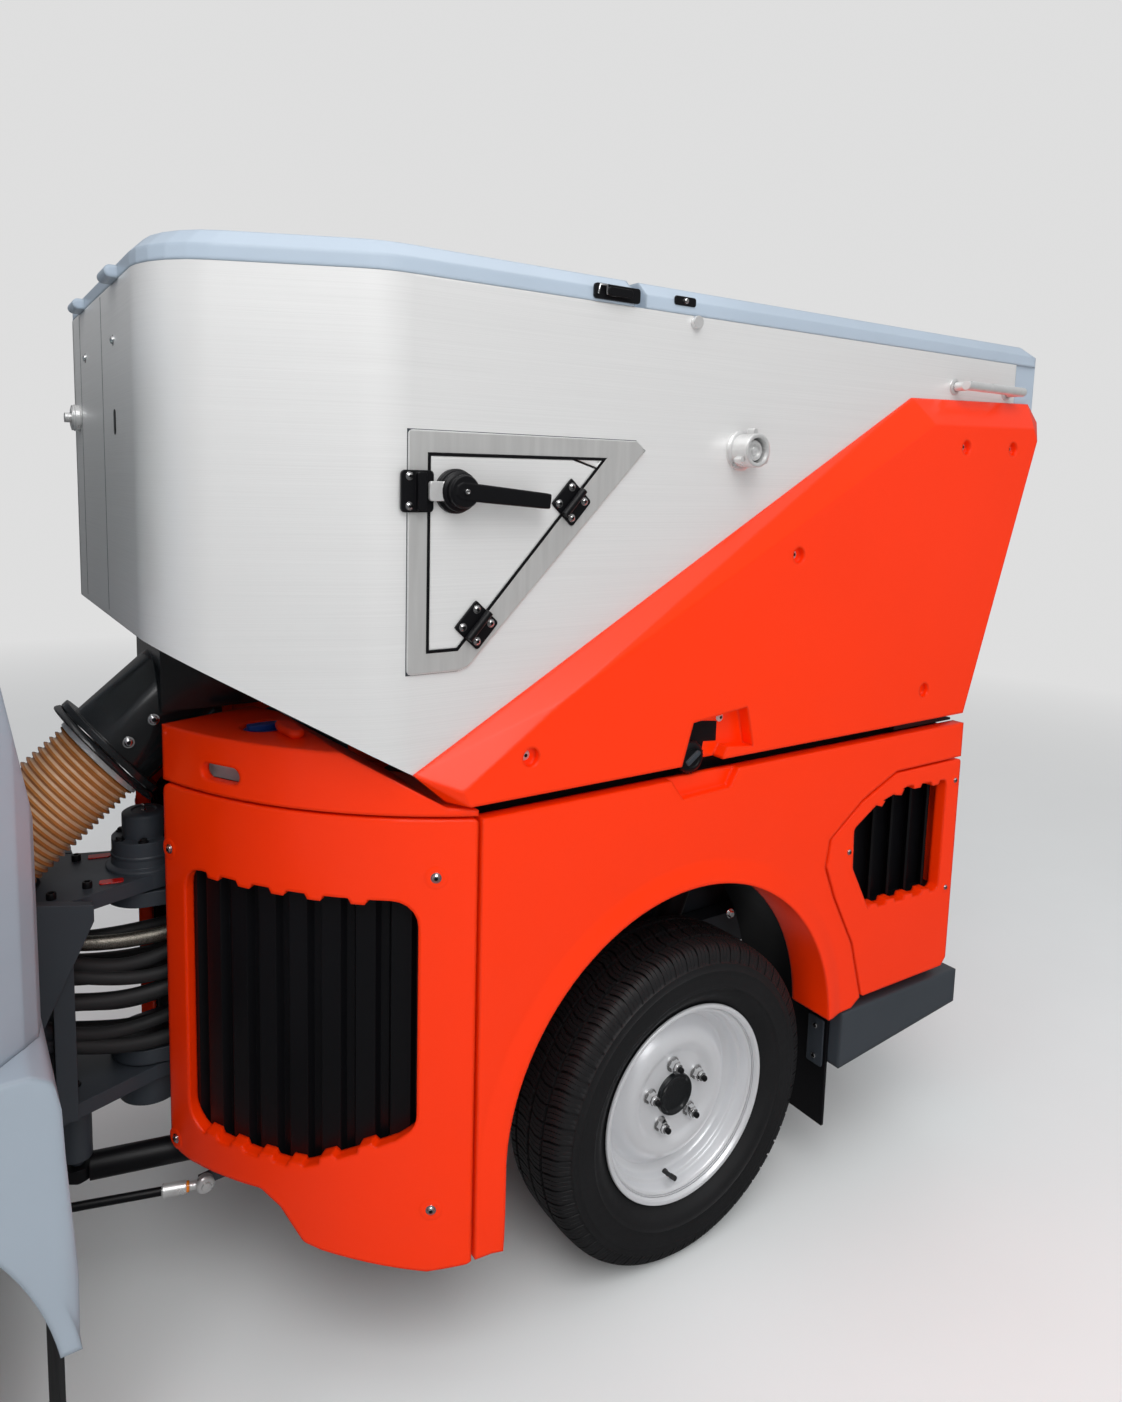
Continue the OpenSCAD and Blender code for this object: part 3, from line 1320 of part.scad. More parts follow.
module cab_body() {
  color(light_grey) difference() {
    union() {
      cab_wall();
      intersection() {
        cab_solid(cab_wall_t / 2);
        difference() {
          along_y(2 * body_w) polygon([
            [cab_rear_x, cab_low_z], [seat_base_x, cab_low_z], [seat_base_x, seat_base_z],
            [shelf_x, seat_base_z], [shelf_x, hose_gate_top_z + plinth_t],
            [cab_rear_x, hose_gate_top_z + plinth_t]
          ]);
          along_y(2 * hose_gate_half) polygon([
            [0, 0], [seat_base_x - plinth_t, 0], [seat_base_x - plinth_t, seat_base_z - plinth_t],
            [shelf_x - plinth_t, seat_base_z - plinth_t], [shelf_x - plinth_t, hose_gate_top_z],
            [0, hose_gate_top_z]
          ]);
        }
      }
    }
    box([0, -hose_gate_half, 0], [cab_rear_x + cab_wall_t + over, hose_gate_half, hose_gate_top_z]);
    box([0, -hose_gate_half, 0], [seat_base_x - plinth_t, hose_gate_half, cab_low_z + cab_wall_t + over]);
    both_sides() door_space(0);
    screen_space();
    rear_window_space();
    mask_space();
    wheel_well(fender_r + run_gap);
    both_sides() fender_skirt(run_gap);
    suction_duct_space();
    box([0, -body_w, roof_z], [2 * cab_front_x, body_w, 2 * cab_top_z]);
  }
  color(light_grey) both_sides() door_knuckle();
}
module door_knuckle() {
  low_z = door_hinge_z[0] + door_hinge_h + joint_gap;
  high_z = door_hinge_z[1] - joint_gap;
  translate([door_hinge[0], door_hinge[1], low_z]) cylinder(h = high_z - low_z, r = door_hinge_r);
  box([door_hinge[0] - 5 * door_hinge_r, cab_half + joint_gap, low_z],
      [door_hinge[0], door_hinge[1] + door_hinge_r, high_z]);
  box([door_hinge[0] - 5 * door_hinge_r, cab_half - door_hinge_r, low_z],
      [door_hinge[0] - 2 * door_hinge_r - door_gap, door_hinge[1], high_z]);
}
module cab_roof() {
  color(light_grey) intersection() {
    difference() {
      cab_solid(0);
      cab_solid(cab_wall_t);
      screen_space();
      rear_window_space();
    }
    box([0, -body_w, roof_z], [2 * cab_front_x, body_w, 2 * cab_top_z]);
  }
}
module cab_mask() {
  color(orange) difference() {
    intersection() {
      cab_wall();
      mask_space();
    }
    both_sides() door_space(0);
    both_sides() headlamp_shape(over);
  }
}
module glass_shell() {
  difference() {
    cab_solid(glass_in);
    cab_solid(glass_in + glass_t);
  }
}
glass_in = 12;
module cab_glass() {
  color(glass_tint) intersection() {
    glass_shell();
    union() {
      screen_space();
      rear_window_space();
    }
  }
}
module door(side) {
  color(light_grey) mirror([0, side > 0 ? 0 : 1, 0]) difference() {
    intersection() {
      cab_wall();
      door_space(door_gap);
    }
    from_y(0, body_w) polygon(rounded(on_cab(door_window_shares), cab_round));
    wheel_well(fender_r + door_gap);
  }
  color(black) mirror([0, side > 0 ? 0 : 1, 0]) for (z = door_hinge_z) {
    translate([door_hinge[0], door_hinge[1], z]) cylinder(h = door_hinge_h, r = door_hinge_r);
    box([door_hinge[0] - door_hinge_r, cab_half - 2 * door_hinge_r, z],
        [door_hinge[0] + 3 * door_hinge_r, door_hinge[1], z + door_hinge_h]);
  }
}
door_hinge_r = 9;
door_hinge_h = 70;
door_hinge_z = [900, 1020];
door_hinge_clear = 1;
door_hinge = [
  cab_rear_x + door_rear_share * cab_len + door_gap + door_hinge_r, cab_half + door_hinge_r + door_hinge_clear
];
module door_glass(side) {
  color(glass_tint) mirror([0, side > 0 ? 0 : 1, 0]) intersection() {
    glass_shell();
    from_y(0, body_w) polygon(rounded(on_cab(door_window_shares), cab_round));
  }
}

// Front fenders around the wheels, and mud flaps behind them
fender_t = 28;
fender_side = 15;
fender_out = cab_half + fender_side;
fender_low_z = 440;
// Skirt behind the front wheel, as shares of the cab's length and height
fender_skirt_shares = [
  [-0.0166, -0.1295], [0.2569, -0.1295], [0.2569, 0.164], [0.1621, 0.164], [0.1462, 0.1813],
  [0.0229, 0.1813], [0.0008, 0.1698], [-0.0063, 0.1381], [-0.0087, 0.0842], [-0.0182, -0.0518]
];
skirt_round = 24;
skirt_corner = 30;
skirt_rear_x = on_cab(fender_skirt_shares)[9][0];
module fender_skirt(gap) {
  from_y(fender_out - liner_w, liner_w + 2 * gap)
    polygon(rounded(inset(on_cab(fender_skirt_shares), -gap), skirt_rounds));
}
skirt_rounds = [0, 0, 0, 0, skirt_round, skirt_round, skirt_round, 0, 0, 0];
fender_front_share = 0.74;
flap_low_z = 170;
front_flap_x = front_axle_x - fender_r + fender_t;
module front_fenders() {
  color(light_grey) both_sides() difference() {
    union() {
      round_y(front_axle_x, tyre_r, fender_r, fender_out - liner_w, liner_w);
      intersection() {
        fender_skirt(0);
        linear_extrude(cab_top_z) polygon(rounded([
          [skirt_rear_x - over, fender_out - liner_w - over], [cab_front_x, fender_out - liner_w - over],
          [cab_front_x, fender_out], [skirt_rear_x - over, fender_out]
        ], [0, 0, 0, skirt_corner]));
      }
    }
    round_y(front_axle_x, tyre_r, fender_r - fender_t, fender_out - liner_w - over, body_half);
    box([0, 0, -body_top_z], [cab_front_x, body_w, fender_low_z]);
    box([cab_rear_x + fender_front_share * cab_len, 0, 0], [2 * cab_front_x, body_w, cab_low_z]);
  }
}
module front_mudflaps() {
  color(black) both_sides()
    box([front_flap_x, fender_out - panel_t - flap_w, flap_low_z],
        [front_flap_x + flap_t, fender_out - panel_t, fender_low_z - run_gap]);
}

// Driver's place: seat, dashboard and steering wheel
seat_half = 240;
seat_dx = 745;
seat_front_x = cab_rear_x + seat_dx;
cushion_h = 110;
back_h = 560;
back_t = 110;
seat_round = 40;
dash_share = 0.86;
dash_lip_share = 0.7;
dash_x = cab_rear_x + dash_share * cab_len;
dash_half = 320;
dash_h = 130;
dash_t = 40;
dash_z = 850;
column_stop = 45;
column_r = 28;
wheel_ring_r = 180;
wheel_tube_r = 15;
steer_wheel_share = 0.66;
column_share = 0.84;
steer_wheel_z = 1330;
spoke_angles = [30, 150, 270];
steer_wheel_pt = [cab_rear_x + steer_wheel_share * cab_len, 0, steer_wheel_z];
column_foot = [cab_rear_x + column_share * cab_len, 0, cab_low_z + cab_wall_t];
module cab_interior() {
  seat_x = shelf_x + plinth_t;
  cushion_z = seat_base_z + cushion_h;
  dash_end_x = cab_front_x - cab_wall_t - joint_gap;
  color(black) {
    from_y(-seat_half, 2 * seat_half) polygon(rounded([
      [seat_x, seat_base_z], [seat_front_x, seat_base_z], [seat_front_x, cushion_z],
      [seat_x + back_t, cushion_z], [seat_x + back_t / 2, cushion_z + back_h],
      [seat_x - back_t / 3, cushion_z + back_h]
    ], [0, seat_round, seat_round, seat_round, seat_round, seat_round]));
    d = unit(column_foot - steer_wheel_pt);
    rod_between(steer_wheel_pt, column_foot - column_stop * d, column_r);
    box([column_foot[0] - column_stop, -column_stop, column_foot[2]],
        [column_foot[0] + column_stop / 2, column_stop, column_foot[2] + 2 * column_stop]);
    from_y(-dash_half, 2 * dash_half) polygon([
      [dash_x, dash_z], [dash_end_x, dash_z], [dash_end_x, dash_z + dash_h],
      [dash_x + dash_t, dash_z + dash_h], [dash_x, dash_z + dash_h * dash_lip_share]
    ]);
    translate(steer_wheel_pt) rotate([0, -acos(-d[2]), 0]) {
      rotate_extrude() translate([wheel_ring_r, 0]) circle(r = wheel_tube_r, $fn = 24);
      for (a = spoke_angles) rotate([0, 0, a])
        translate([0, -wheel_tube_r, -wheel_tube_r / 2]) cube([wheel_ring_r, 2 * wheel_tube_r, wheel_tube_r]);
    }
  }
}

// Suction duct from the hose down through the frame to the suction mouth
duct_r = 92;
duct_wall = 5;
duct_bulge = 3;
duct_space_r = duct_r + 2 * over;
mouth_x = [1085, 1285];
mouth_half = 300;
mouth_low_z = 28;
mouth_h = 150;
mouth_wall = 12;
mouth_top_z = mouth_low_z + mouth_h;
mouth_shares = [[0, 0], [1, 0], [1, 0.5], [0.625, 1], [0.225, 1], [0, 0.5]];
mouth_inner_shares = [[0.06, -0.2], [0.94, -0.2], [0.94, 0.45], [0.625, 0.92], [0.225, 0.92], [0.06, 0.45]];
duct_low_z = 512;
duct_rear_x = 480;
duct_front_x = 1090;
duct_down_x = 1175;
duct_neck = 120;
duct_start = 60;
duct_pts = [
  hose_low + joint_gap * hose_dir, hose_low + duct_start * hose_dir, [duct_rear_x, 0, duct_low_z],
  [duct_front_x, 0, duct_low_z], [duct_down_x, 0, mouth_top_z + duct_neck],
  [duct_down_x, 0, mouth_top_z + joint_gap]
];
function on_mouth(shares) = in_box([mouth_x[0], mouth_low_z], [mouth_x[1] - mouth_x[0], mouth_h], shares);
module suction_duct() {
  color(black) difference() {
    union() {
      for (i = [0 : len(duct_pts) - 2]) rod_between(duct_pts[i], duct_pts[i + 1], duct_r);
      for (i = [1 : len(duct_pts) - 2]) translate(duct_pts[i]) sphere(r = duct_r + duct_bulge);
    }
    rod_between(duct_pts[0] - duct_r * hose_dir, duct_pts[1], duct_r - duct_wall);
    for (i = [1 : len(duct_pts) - 2]) rod_between(duct_pts[i], duct_pts[i + 1], duct_r - duct_wall);
    for (i = [1 : len(duct_pts) - 2]) translate(duct_pts[i]) sphere(r = duct_r - duct_wall + duct_bulge / 2);
  }
}
module suction_mouth() {
  color(black) difference() {
    from_y(-mouth_half, 2 * mouth_half) polygon(on_mouth(mouth_shares));
    from_y(-mouth_half + mouth_wall, 2 * mouth_half - 2 * mouth_wall) polygon(on_mouth(mouth_inner_shares));
    translate([duct_down_x, 0, mouth_low_z]) cylinder(h = 2 * mouth_h, r = duct_r - duct_wall);
  }
}

// Lamps and mirrors at the front
headlamp_r = 62;
headlamp_y = 400;
headlamp_z = 830;
headlamp_depth = 60;
module headlamp_shape(extra) {
  translate([cab_front_x - headlamp_depth, headlamp_y, headlamp_z]) rotate([0, 90, 0])
    cylinder(h = headlamp_depth + extra, r = headlamp_r + (extra > 0 ? run_gap : 0));
}
module headlamps() {
  color(silver) both_sides() headlamp_shape(0);
}
mirror_foot_y = 300;
mirror_drop = 70;
mirror_ahead = 60;
mirror_sides = [90, 150];
mirror_rises = [60, 430];
mirror_foot = [cab_front_x + joint_gap, mirror_foot_y, screen_low_z - mirror_drop];
mirror_mid = [cab_front_x + mirror_ahead, cab_half + mirror_sides[0], screen_low_z + mirror_rises[0]];
mirror_top = [cab_front_x + mirror_ahead, cab_half + mirror_sides[1], screen_low_z + mirror_rises[1]];
mirror_tube_r = 13;
mirror_root_share = 1.1;
mirror_w = 170;
mirror_h = 270;
mirror_t = 60;
module mirrors() {
  color(black) both_sides() {
    translate(mirror_foot) rotate([0, 90, 0]) cylinder(h = 2 * mirror_tube_r, r = 2 * mirror_tube_r);
    rod_between(mirror_foot + [mirror_tube_r * mirror_root_share, 0, 0], mirror_mid, mirror_tube_r);
    translate(mirror_mid) sphere(r = mirror_tube_r + joint_gap);
    rod_between(mirror_mid, mirror_top, mirror_tube_r);
    box([mirror_top[0] - mirror_t / 2, mirror_top[1] - mirror_w / 2, mirror_top[2] - mirror_h],
        [mirror_top[0] + mirror_t / 2, mirror_top[1] + mirror_w / 2, mirror_top[2]]);
  }
}

// Side brushes on swinging arms
brush_y = 430;
brush_centre = [front_end_x - brush_r, brush_y];
brush_disc_r = 170;
brush_disc_t = 40;
brush_disc_z = 250;
hub_motor_r = 60;
arm_w = 66;
bristle_root_r = 150;
bristle_t = 26;
module brush_arm(side) {
  color(dark_grey) mirror([0, side > 0 ? 0 : 1, 0]) difference() {
    union() {
      translate([brush_pivot[0], brush_pivot[1], brush_arm_z]) cylinder(h = brush_arm_t, r = pivot_boss_r);
      motor_z = brush_disc_z + brush_disc_t + joint_gap;
      translate([brush_centre[0], brush_centre[1], motor_z])
        cylinder(h = brush_arm_z + brush_arm_t - motor_z, r = hub_motor_r);
      d = brush_centre - brush_pivot;
      translate([brush_pivot[0], brush_pivot[1], brush_arm_z]) rotate([0, 0, atan2(d[1], d[0])])
        translate([over, -arm_w / 2, over]) cube([norm(d) - 2 * over, arm_w, brush_arm_t - 2 * over]);
    }
    translate([brush_pivot[0], brush_pivot[1], brush_arm_z - over])
      cylinder(h = brush_arm_t + 2 * over, r = brush_pin_r + run_gap);
    translate([brush_centre[0], brush_centre[1], brush_disc_z])
      cylinder(h = brush_disc_t + brush_arm_t, r = brush_pin_r + run_gap);
  }
}
module brush(side) {
  color(black) mirror([0, side > 0 ? 0 : 1, 0]) translate([brush_centre[0], brush_centre[1], 0]) {
    translate([0, 0, brush_disc_z]) cylinder(h = brush_disc_t, r = brush_disc_r);
    translate([0, 0, brush_disc_z]) cylinder(h = brush_disc_t + brush_arm_t - over, r = brush_pin_r);
    rotate_extrude() polygon([
      [bristle_root_r - bristle_t, brush_disc_z + over], [bristle_root_r, brush_disc_z + over],
      [brush_r, brush_lift + bristle_t], [brush_r, brush_lift], [brush_r - 3 * bristle_t, brush_lift]
    ]);
  }
}

rear_frame();
rear_axle();
engine();
side_panels();
corner_panels();
cowls();
rear_panels();
grilles();
bumper();
tail_lamps();
rear_liners();
suction_hose();
hydraulic_hoses();
hopper_shell();
hopper_covers();
inlet_pipe();
hopper_fittings();
front_lid();
tailgate();
hatch_door();
hatch_hardware();
tip_barrels();
tip_rods();
steer_barrel();
steer_rod();
tyre(rear_axle_x, 1);  // tyre_rear_left
tyre(rear_axle_x, -1);  // tyre_rear_right
tyre(front_axle_x, 1);  // tyre_front_left
tyre(front_axle_x, -1);  // tyre_front_right
rim(rear_axle_x, 1);  // rim_rear_left
rim(rear_axle_x, -1);  // rim_rear_right
rim(front_axle_x, 1);  // rim_front_left
rim(front_axle_x, -1);  // rim_front_right
front_frame();
front_axle();
cab_body();
cab_roof();
cab_mask();
cab_glass();
front_fenders();
front_mudflaps();
cab_interior();
suction_duct();
headlamps();
mirrors();
door(1);  // door_left
door(-1);  // door_right
door_glass(1);  // door_glass_left
door_glass(-1);  // door_glass_right
brush_arm(1);  // brush_arm_left
brush_arm(-1);  // brush_arm_right
brush(1);  // brush_left
brush(-1);  // brush_right
suction_mouth();
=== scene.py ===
"""Looks of the articulated street sweeper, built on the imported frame. Metres, +X forward, +Y left, +Z up."""
import math

import bmesh
import bpy
from mathutils import Matrix, Vector


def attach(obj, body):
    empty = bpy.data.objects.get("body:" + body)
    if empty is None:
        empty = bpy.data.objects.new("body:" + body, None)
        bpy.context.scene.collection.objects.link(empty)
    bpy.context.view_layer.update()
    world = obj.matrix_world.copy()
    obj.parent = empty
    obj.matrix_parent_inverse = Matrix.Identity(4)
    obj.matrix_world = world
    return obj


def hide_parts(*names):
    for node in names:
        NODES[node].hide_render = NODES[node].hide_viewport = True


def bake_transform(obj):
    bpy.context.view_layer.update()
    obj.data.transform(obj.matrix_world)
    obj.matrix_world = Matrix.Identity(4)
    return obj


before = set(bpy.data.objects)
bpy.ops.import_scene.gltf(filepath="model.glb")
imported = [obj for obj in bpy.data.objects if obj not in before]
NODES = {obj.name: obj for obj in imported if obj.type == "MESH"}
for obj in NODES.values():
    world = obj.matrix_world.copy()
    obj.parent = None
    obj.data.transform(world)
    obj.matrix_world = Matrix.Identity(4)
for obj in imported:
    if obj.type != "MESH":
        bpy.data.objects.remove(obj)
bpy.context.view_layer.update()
SCENE = bpy.context.scene


# ---------------------------------------------------------------- materials
def links(mat):
    return mat.node_tree.nodes, mat.node_tree.links


def principled(name, colour, rough, metal=0.0, **sockets):
    mat = bpy.data.materials.new(name)
    mat.use_nodes = True
    nodes, _ = links(mat)
    bsdf = nodes["Principled BSDF"]
    bsdf.inputs["Base Color"].default_value = (*colour, 1)
    bsdf.inputs["Roughness"].default_value = rough
    bsdf.inputs["Metallic"].default_value = metal
    for key, value in sockets.items():
        bsdf.inputs[key.replace("_", " ")].default_value = value
    return mat, bsdf


def noise(mat, scale, detail=3.0, stretch=(1, 1, 1)):
    nodes, link = links(mat)
    place = nodes.new("ShaderNodeTexCoord")
    turn = nodes.new("ShaderNodeMapping")
    turn.inputs["Scale"].default_value = stretch
    tex = nodes.new("ShaderNodeTexNoise")
    tex.inputs["Scale"].default_value = scale
    tex.inputs["Detail"].default_value = detail
    link.new(place.outputs["Object"], turn.inputs["Vector"])
    link.new(turn.outputs["Vector"], tex.inputs["Vector"])
    return tex


def ramp(mat, source, low, high, span=(0.3, 0.7)):
    nodes, link = links(mat)
    band = nodes.new("ShaderNodeValToRGB")
    for element, at, colour in zip(band.color_ramp.elements, span, (low, high)):
        element.position = at
        element.color = (*colour, 1) if isinstance(colour, tuple) else (colour, colour, colour, 1)
    link.new(source.outputs["Fac"], band.inputs["Fac"])
    return band


def shade(colour, factor):
    return tuple(min(1.0, c * factor) for c in colour)


def vary_socket(mat, source, bsdf, socket, low, high):
    """Lets a texture move one socket between two values."""
    links(mat)[1].new(ramp(mat, source, low, high).outputs["Color"], bsdf.inputs[socket])


def relief(mat, bsdf, height, strength, depth, edge, samples):
    """Bump from a texture, over edges that are softened to a radius where there is one."""
    nodes, link = links(mat)
    bump = nodes.new("ShaderNodeBump")
    bump.inputs["Strength"].default_value = strength
    bump.inputs["Distance"].default_value = depth
    link.new(height.outputs["Fac"], bump.inputs["Height"])
    if edge:
        soft = nodes.new("ShaderNodeBevel")
        soft.samples = samples
        soft.inputs["Radius"].default_value = edge
        link.new(soft.outputs["Normal"], bump.inputs["Normal"])
    link.new(bump.outputs["Normal"], bsdf.inputs["Normal"])


def moulded(name, colour, rough, grain=420.0, depth=0.00012, vary=0.06, edge=0.004, cloud=2.5, **sockets):
    """Moulded plastic or paint: slight clouding of colour and gloss, a fine grain and softened edges."""
    mat, bsdf = principled(name, colour, rough, **sockets)
    vary_socket(mat, noise(mat, cloud, 4), bsdf, "Base Color", shade(colour, 1 - vary), shade(colour, 1 + vary * 0.5))
    vary_socket(mat, noise(mat, cloud * 7, 5), bsdf, "Roughness", rough * 0.95, min(1.0, rough * 1.06))
    relief(mat, bsdf, noise(mat, grain, 2), 0.35, depth, edge, 6)
    return mat


def brushed(name, colour, rough, stretch, vary=0.10, edge=0.003, metal=1.0):
    """Brushed metal: long fine scratches along the short entry of stretch."""
    mat, bsdf = principled(name, colour, rough, metal)
    fine = noise(mat, 1.0, 4, stretch)
    broad = noise(mat, 1.0, 3, tuple(s * 0.6 for s in stretch))
    vary_socket(mat, fine, bsdf, "Base Color", shade(colour, 1 - vary), shade(colour, 1 + vary))
    vary_socket(mat, broad, bsdf, "Roughness", rough * 0.82, rough * 1.2)
    relief(mat, bsdf, fine, 0.18, 0.0002, edge, 4)
    return mat


ORANGE = moulded("orange_plastic", (0.97, 0.036, 0.0008), 0.24, edge=0.010, vary=0.02, Specular_IOR_Level=0.30)
LID = moulded("lid_grey", (0.41, 0.49, 0.58), 0.34, edge=0.009)
CAB = moulded("cab_grey", (0.33, 0.385, 0.445), 0.34, edge=0.014)
DARK = moulded("anthracite", (0.035, 0.042, 0.052), 0.45, edge=0.003)
BUMPER = moulded("bumper_grey", (0.042, 0.050, 0.060), 0.40, edge=0.014)
BLACK = moulded("black_plastic", (0.004, 0.004, 0.005), 0.40, edge=0.002, Specular_IOR_Level=0.25)
GLOSS = moulded("gloss_black", (0.008, 0.009, 0.010), 0.16, edge=0.003, grain=90, depth=0.0001)
RUBBER = moulded("black_rubber", (0.014, 0.014, 0.015), 0.62, edge=0.002, grain=240, depth=0.0003)
TYRE = moulded("tyre_rubber", (0.008, 0.008, 0.009), 0.60, edge=0, grain=300, depth=0.0004, vary=0.2, cloud=9,
               Specular_IOR_Level=0.45)
STEEL = brushed("brushed_stainless", (0.78, 0.78, 0.775), 0.38, (2.5, 2.5, 1100.0), vary=0.035, edge=0.006, metal=0.3)
FRAME_STEEL = brushed("brushed_frame", (0.62, 0.62, 0.61), 0.36, (90.0, 90.0, 6.0), vary=0.05, edge=0.002, metal=0.5)
BRIGHT = brushed("bright_steel", (0.74, 0.74, 0.735), 0.32, (60.0, 60.0, 60.0), vary=0.05, metal=0.55)
RIM = moulded("rim_silver", (0.74, 0.75, 0.77), 0.30, grain=900, depth=0.00005, edge=0.003, Metallic=0.35)
CHROME = brushed("chrome_nut", (0.78, 0.78, 0.78), 0.12, (30.0, 30.0, 30.0), vary=0.03, edge=0.001)
RED = moulded("red_lens", (0.45, 0.008, 0.006), 0.12, grain=60, edge=0.002)
AMBER = moulded("amber_lens", (0.8, 0.22, 0.01), 0.12, grain=60, edge=0.002)
CLEAR = moulded("clear_lens", (0.62, 0.65, 0.67), 0.10, grain=60, edge=0.002)
BLUE = moulded("blue_cap", (0.005, 0.04, 0.22), 0.35, edge=0.002)
BRISTLE = moulded("bristle_wire", (0.05, 0.05, 0.055), 0.5, edge=0, vary=0.4, cloud=40)
MIRROR = brushed("mirror_glass", (0.85, 0.87, 0.88), 0.04, (2.0, 2.0, 2.0), vary=0.01)
BRAID = brushed("braided_steel", (0.30, 0.28, 0.24), 0.45, (400.0, 400.0, 400.0), vary=0.5, edge=0.001)
FABRIC = moulded("seat_fabric", (0.03, 0.032, 0.036), 0.85, grain=1400, depth=0.0006, vary=0.25, edge=0)


def glazing():
    mat, bsdf = principled("cab_glass", (0.75, 0.82, 0.82), 0.03, Transmission_Weight=1.0, IOR=1.45)
    vary_socket(mat, noise(mat, 3, 2), bsdf, "Base Color", (0.70, 0.78, 0.78), (0.78, 0.84, 0.84))
    return mat


GLASS = glazing()


def hose_stuff(name, low, high, rough):
    mat, bsdf = principled(name, low, rough)
    vary_socket(mat, noise(mat, 14, 4), bsdf, "Base Color", low, high)
    return mat


HOSE = hose_stuff("hose_brown", (0.36, 0.13, 0.035), (0.48, 0.20, 0.06), 0.24)
FILM = hose_stuff("hose_film", (0.50, 0.31, 0.18), (0.68, 0.47, 0.31), 0.20)

LOOKS = {
    ORANGE: "side_panels corner_panels cowls rear_panels hopper_covers cab_mask",
    LID: "front_lid tailgate",
    CAB: "cab_body cab_roof front_fenders door_left door_right",
    DARK: "rear_frame front_frame brush_arm_left brush_arm_right engine",
    BUMPER: "bumper",
    BLACK: "grilles rear_liners mirrors suction_mouth suction_duct rear_axle front_axle tip_barrels steer_barrel "
           "hatch_hardware brush_left brush_right",
    GLOSS: "inlet_pipe",
    RUBBER: "front_mudflaps hydraulic_hoses",
    STEEL: "hopper_shell hatch_door",
    BRIGHT: "hopper_fittings tip_rods steer_rod",
    TYRE: "tyre_rear_left tyre_rear_right tyre_front_left tyre_front_right",
    RIM: "rim_rear_left rim_rear_right rim_front_left rim_front_right",
    RED: "tail_lamps",
    CLEAR: "headlamps",
    GLASS: "cab_glass door_glass_left door_glass_right",
    FABRIC: "cab_interior",
    HOSE: "suction_hose",
}
for look, names in LOOKS.items():
    for name in names.split():
        slots = NODES[name].data.materials
        if len(slots) == 0:
            slots.append(look)
        for i in range(len(slots)):
            slots[i] = look


# ---------------------------------------------------------------- mesh helpers
MM = 0.001
SIDES = ((1, "left"), (-1, "right"))


def linked(name, data):
    obj = bpy.data.objects.new(name, data)
    SCENE.collection.objects.link(obj)
    return obj


def from_bmesh(name, mesh, look):
    data = bpy.data.meshes.new(name)
    mesh.to_mesh(data)
    mesh.free()
    data.materials.append(look)
    return linked(name, data)


def mesh_object(name, verts, faces, look, smooth=True):
    data = bpy.data.meshes.new(name)
    data.from_pydata([tuple(v) for v in verts], [], faces)
    data.validate()
    data.update()
    if smooth:
        data.polygons.foreach_set("use_smooth", [True] * len(data.polygons))
    data.materials.append(look)
    return linked(name, data)


def grid_faces(rows, columns, wrap_rows=False, wrap_columns=False):
    faces = []
    for i in range(rows if wrap_rows else rows - 1):
        for j in range(columns if wrap_columns else columns - 1):
            k, l = (i + 1) % rows, (j + 1) % columns
            faces.append((i * columns + j, k * columns + j, k * columns + l, i * columns + l))
    return faces


def sharpen(obj, degrees=35):
    """Keeps edges sharper than the angle crisp on a smooth-shaded mesh."""
    mesh = bmesh.new()
    mesh.from_mesh(obj.data)
    limit = math.radians(degrees)
    for edge in mesh.edges:
        if len(edge.link_faces) == 2 and edge.calc_face_angle(0) > limit:
            edge.smooth = False
    mesh.to_mesh(obj.data)
    mesh.free()
    return obj


def lathe(name, profile, look, steps=96):
    """Turns (radius, height) points about local Z."""
    verts = []
    for i in range(steps):
        c, s = math.cos(2 * math.pi * i / steps), math.sin(2 * math.pi * i / steps)
        verts += [(r * c, r * s, h) for r, h in profile]
    return sharpen(mesh_object(name, verts, grid_faces(steps, len(profile), wrap_rows=True), look))


# ---------------------------------------------------------------- wheels
TYRE_R, WHEEL_Y, AXLES = 0.357, 0.481, {"rear": -0.985, "front": 0.705}
TREAD_HALF = (  # distance from the middle, radius, kind: g groove, t tread, s shoulder, w wall
    (0, 349.0, "g"), (4.0, 349.0, "g"), (4.6, 357.0, "t"), (22, 356.9, "t"), (40.4, 356.2, "t"), (41, 348.6, "g"),
    (49, 348.2, "g"), (49.6, 355.6, "t"), (62, 354.4, "t"), (73, 352.2, "t"), (81, 348.2, "t"), (87, 341.5, "s"),
    (91.4, 332, "s"), (94.6, 323, "s"), (96.8, 317.4, "w"), (98.6, 316.4, "w"), (98.8, 312, "w"), (100.6, 303, "w"),
    (101.6, 302, "w"), (101.8, 299.5, "w"), (101.4, 298.6, "w"), (102.4, 288, "w"), (102.4, 277, "w"),
    (101.4, 267.6, "w"),
    (102, 266.6, "w"), (101.8, 264.4, "w"), (100.4, 263.4, "w"), (97.4, 256.4, "w"), (96.4, 251, "w"), (91.6, 243, "w"),
    (86, 236, "w"), (80.4, 229, "w"), (76.4, 223.4, "w"), (74.4, 219, "w"), (72.8, 212, "w"), (71.75, 205.2, "w"),
)
PITCHES = 64
CUTS = ((0.0, 0, 0), (0.012, 1, 0), (0.140, 1, 0), (0.152, 0, 0), (0.395, 0, 0), (0.405, 0, 1), (0.435, 0, 1),
    (0.445, 0, 0),
        (0.69, 0, 0), (0.70, 0, 1), (0.73, 0, 1), (0.74, 0, 0))  # share of a pitch, lateral cut, sipe


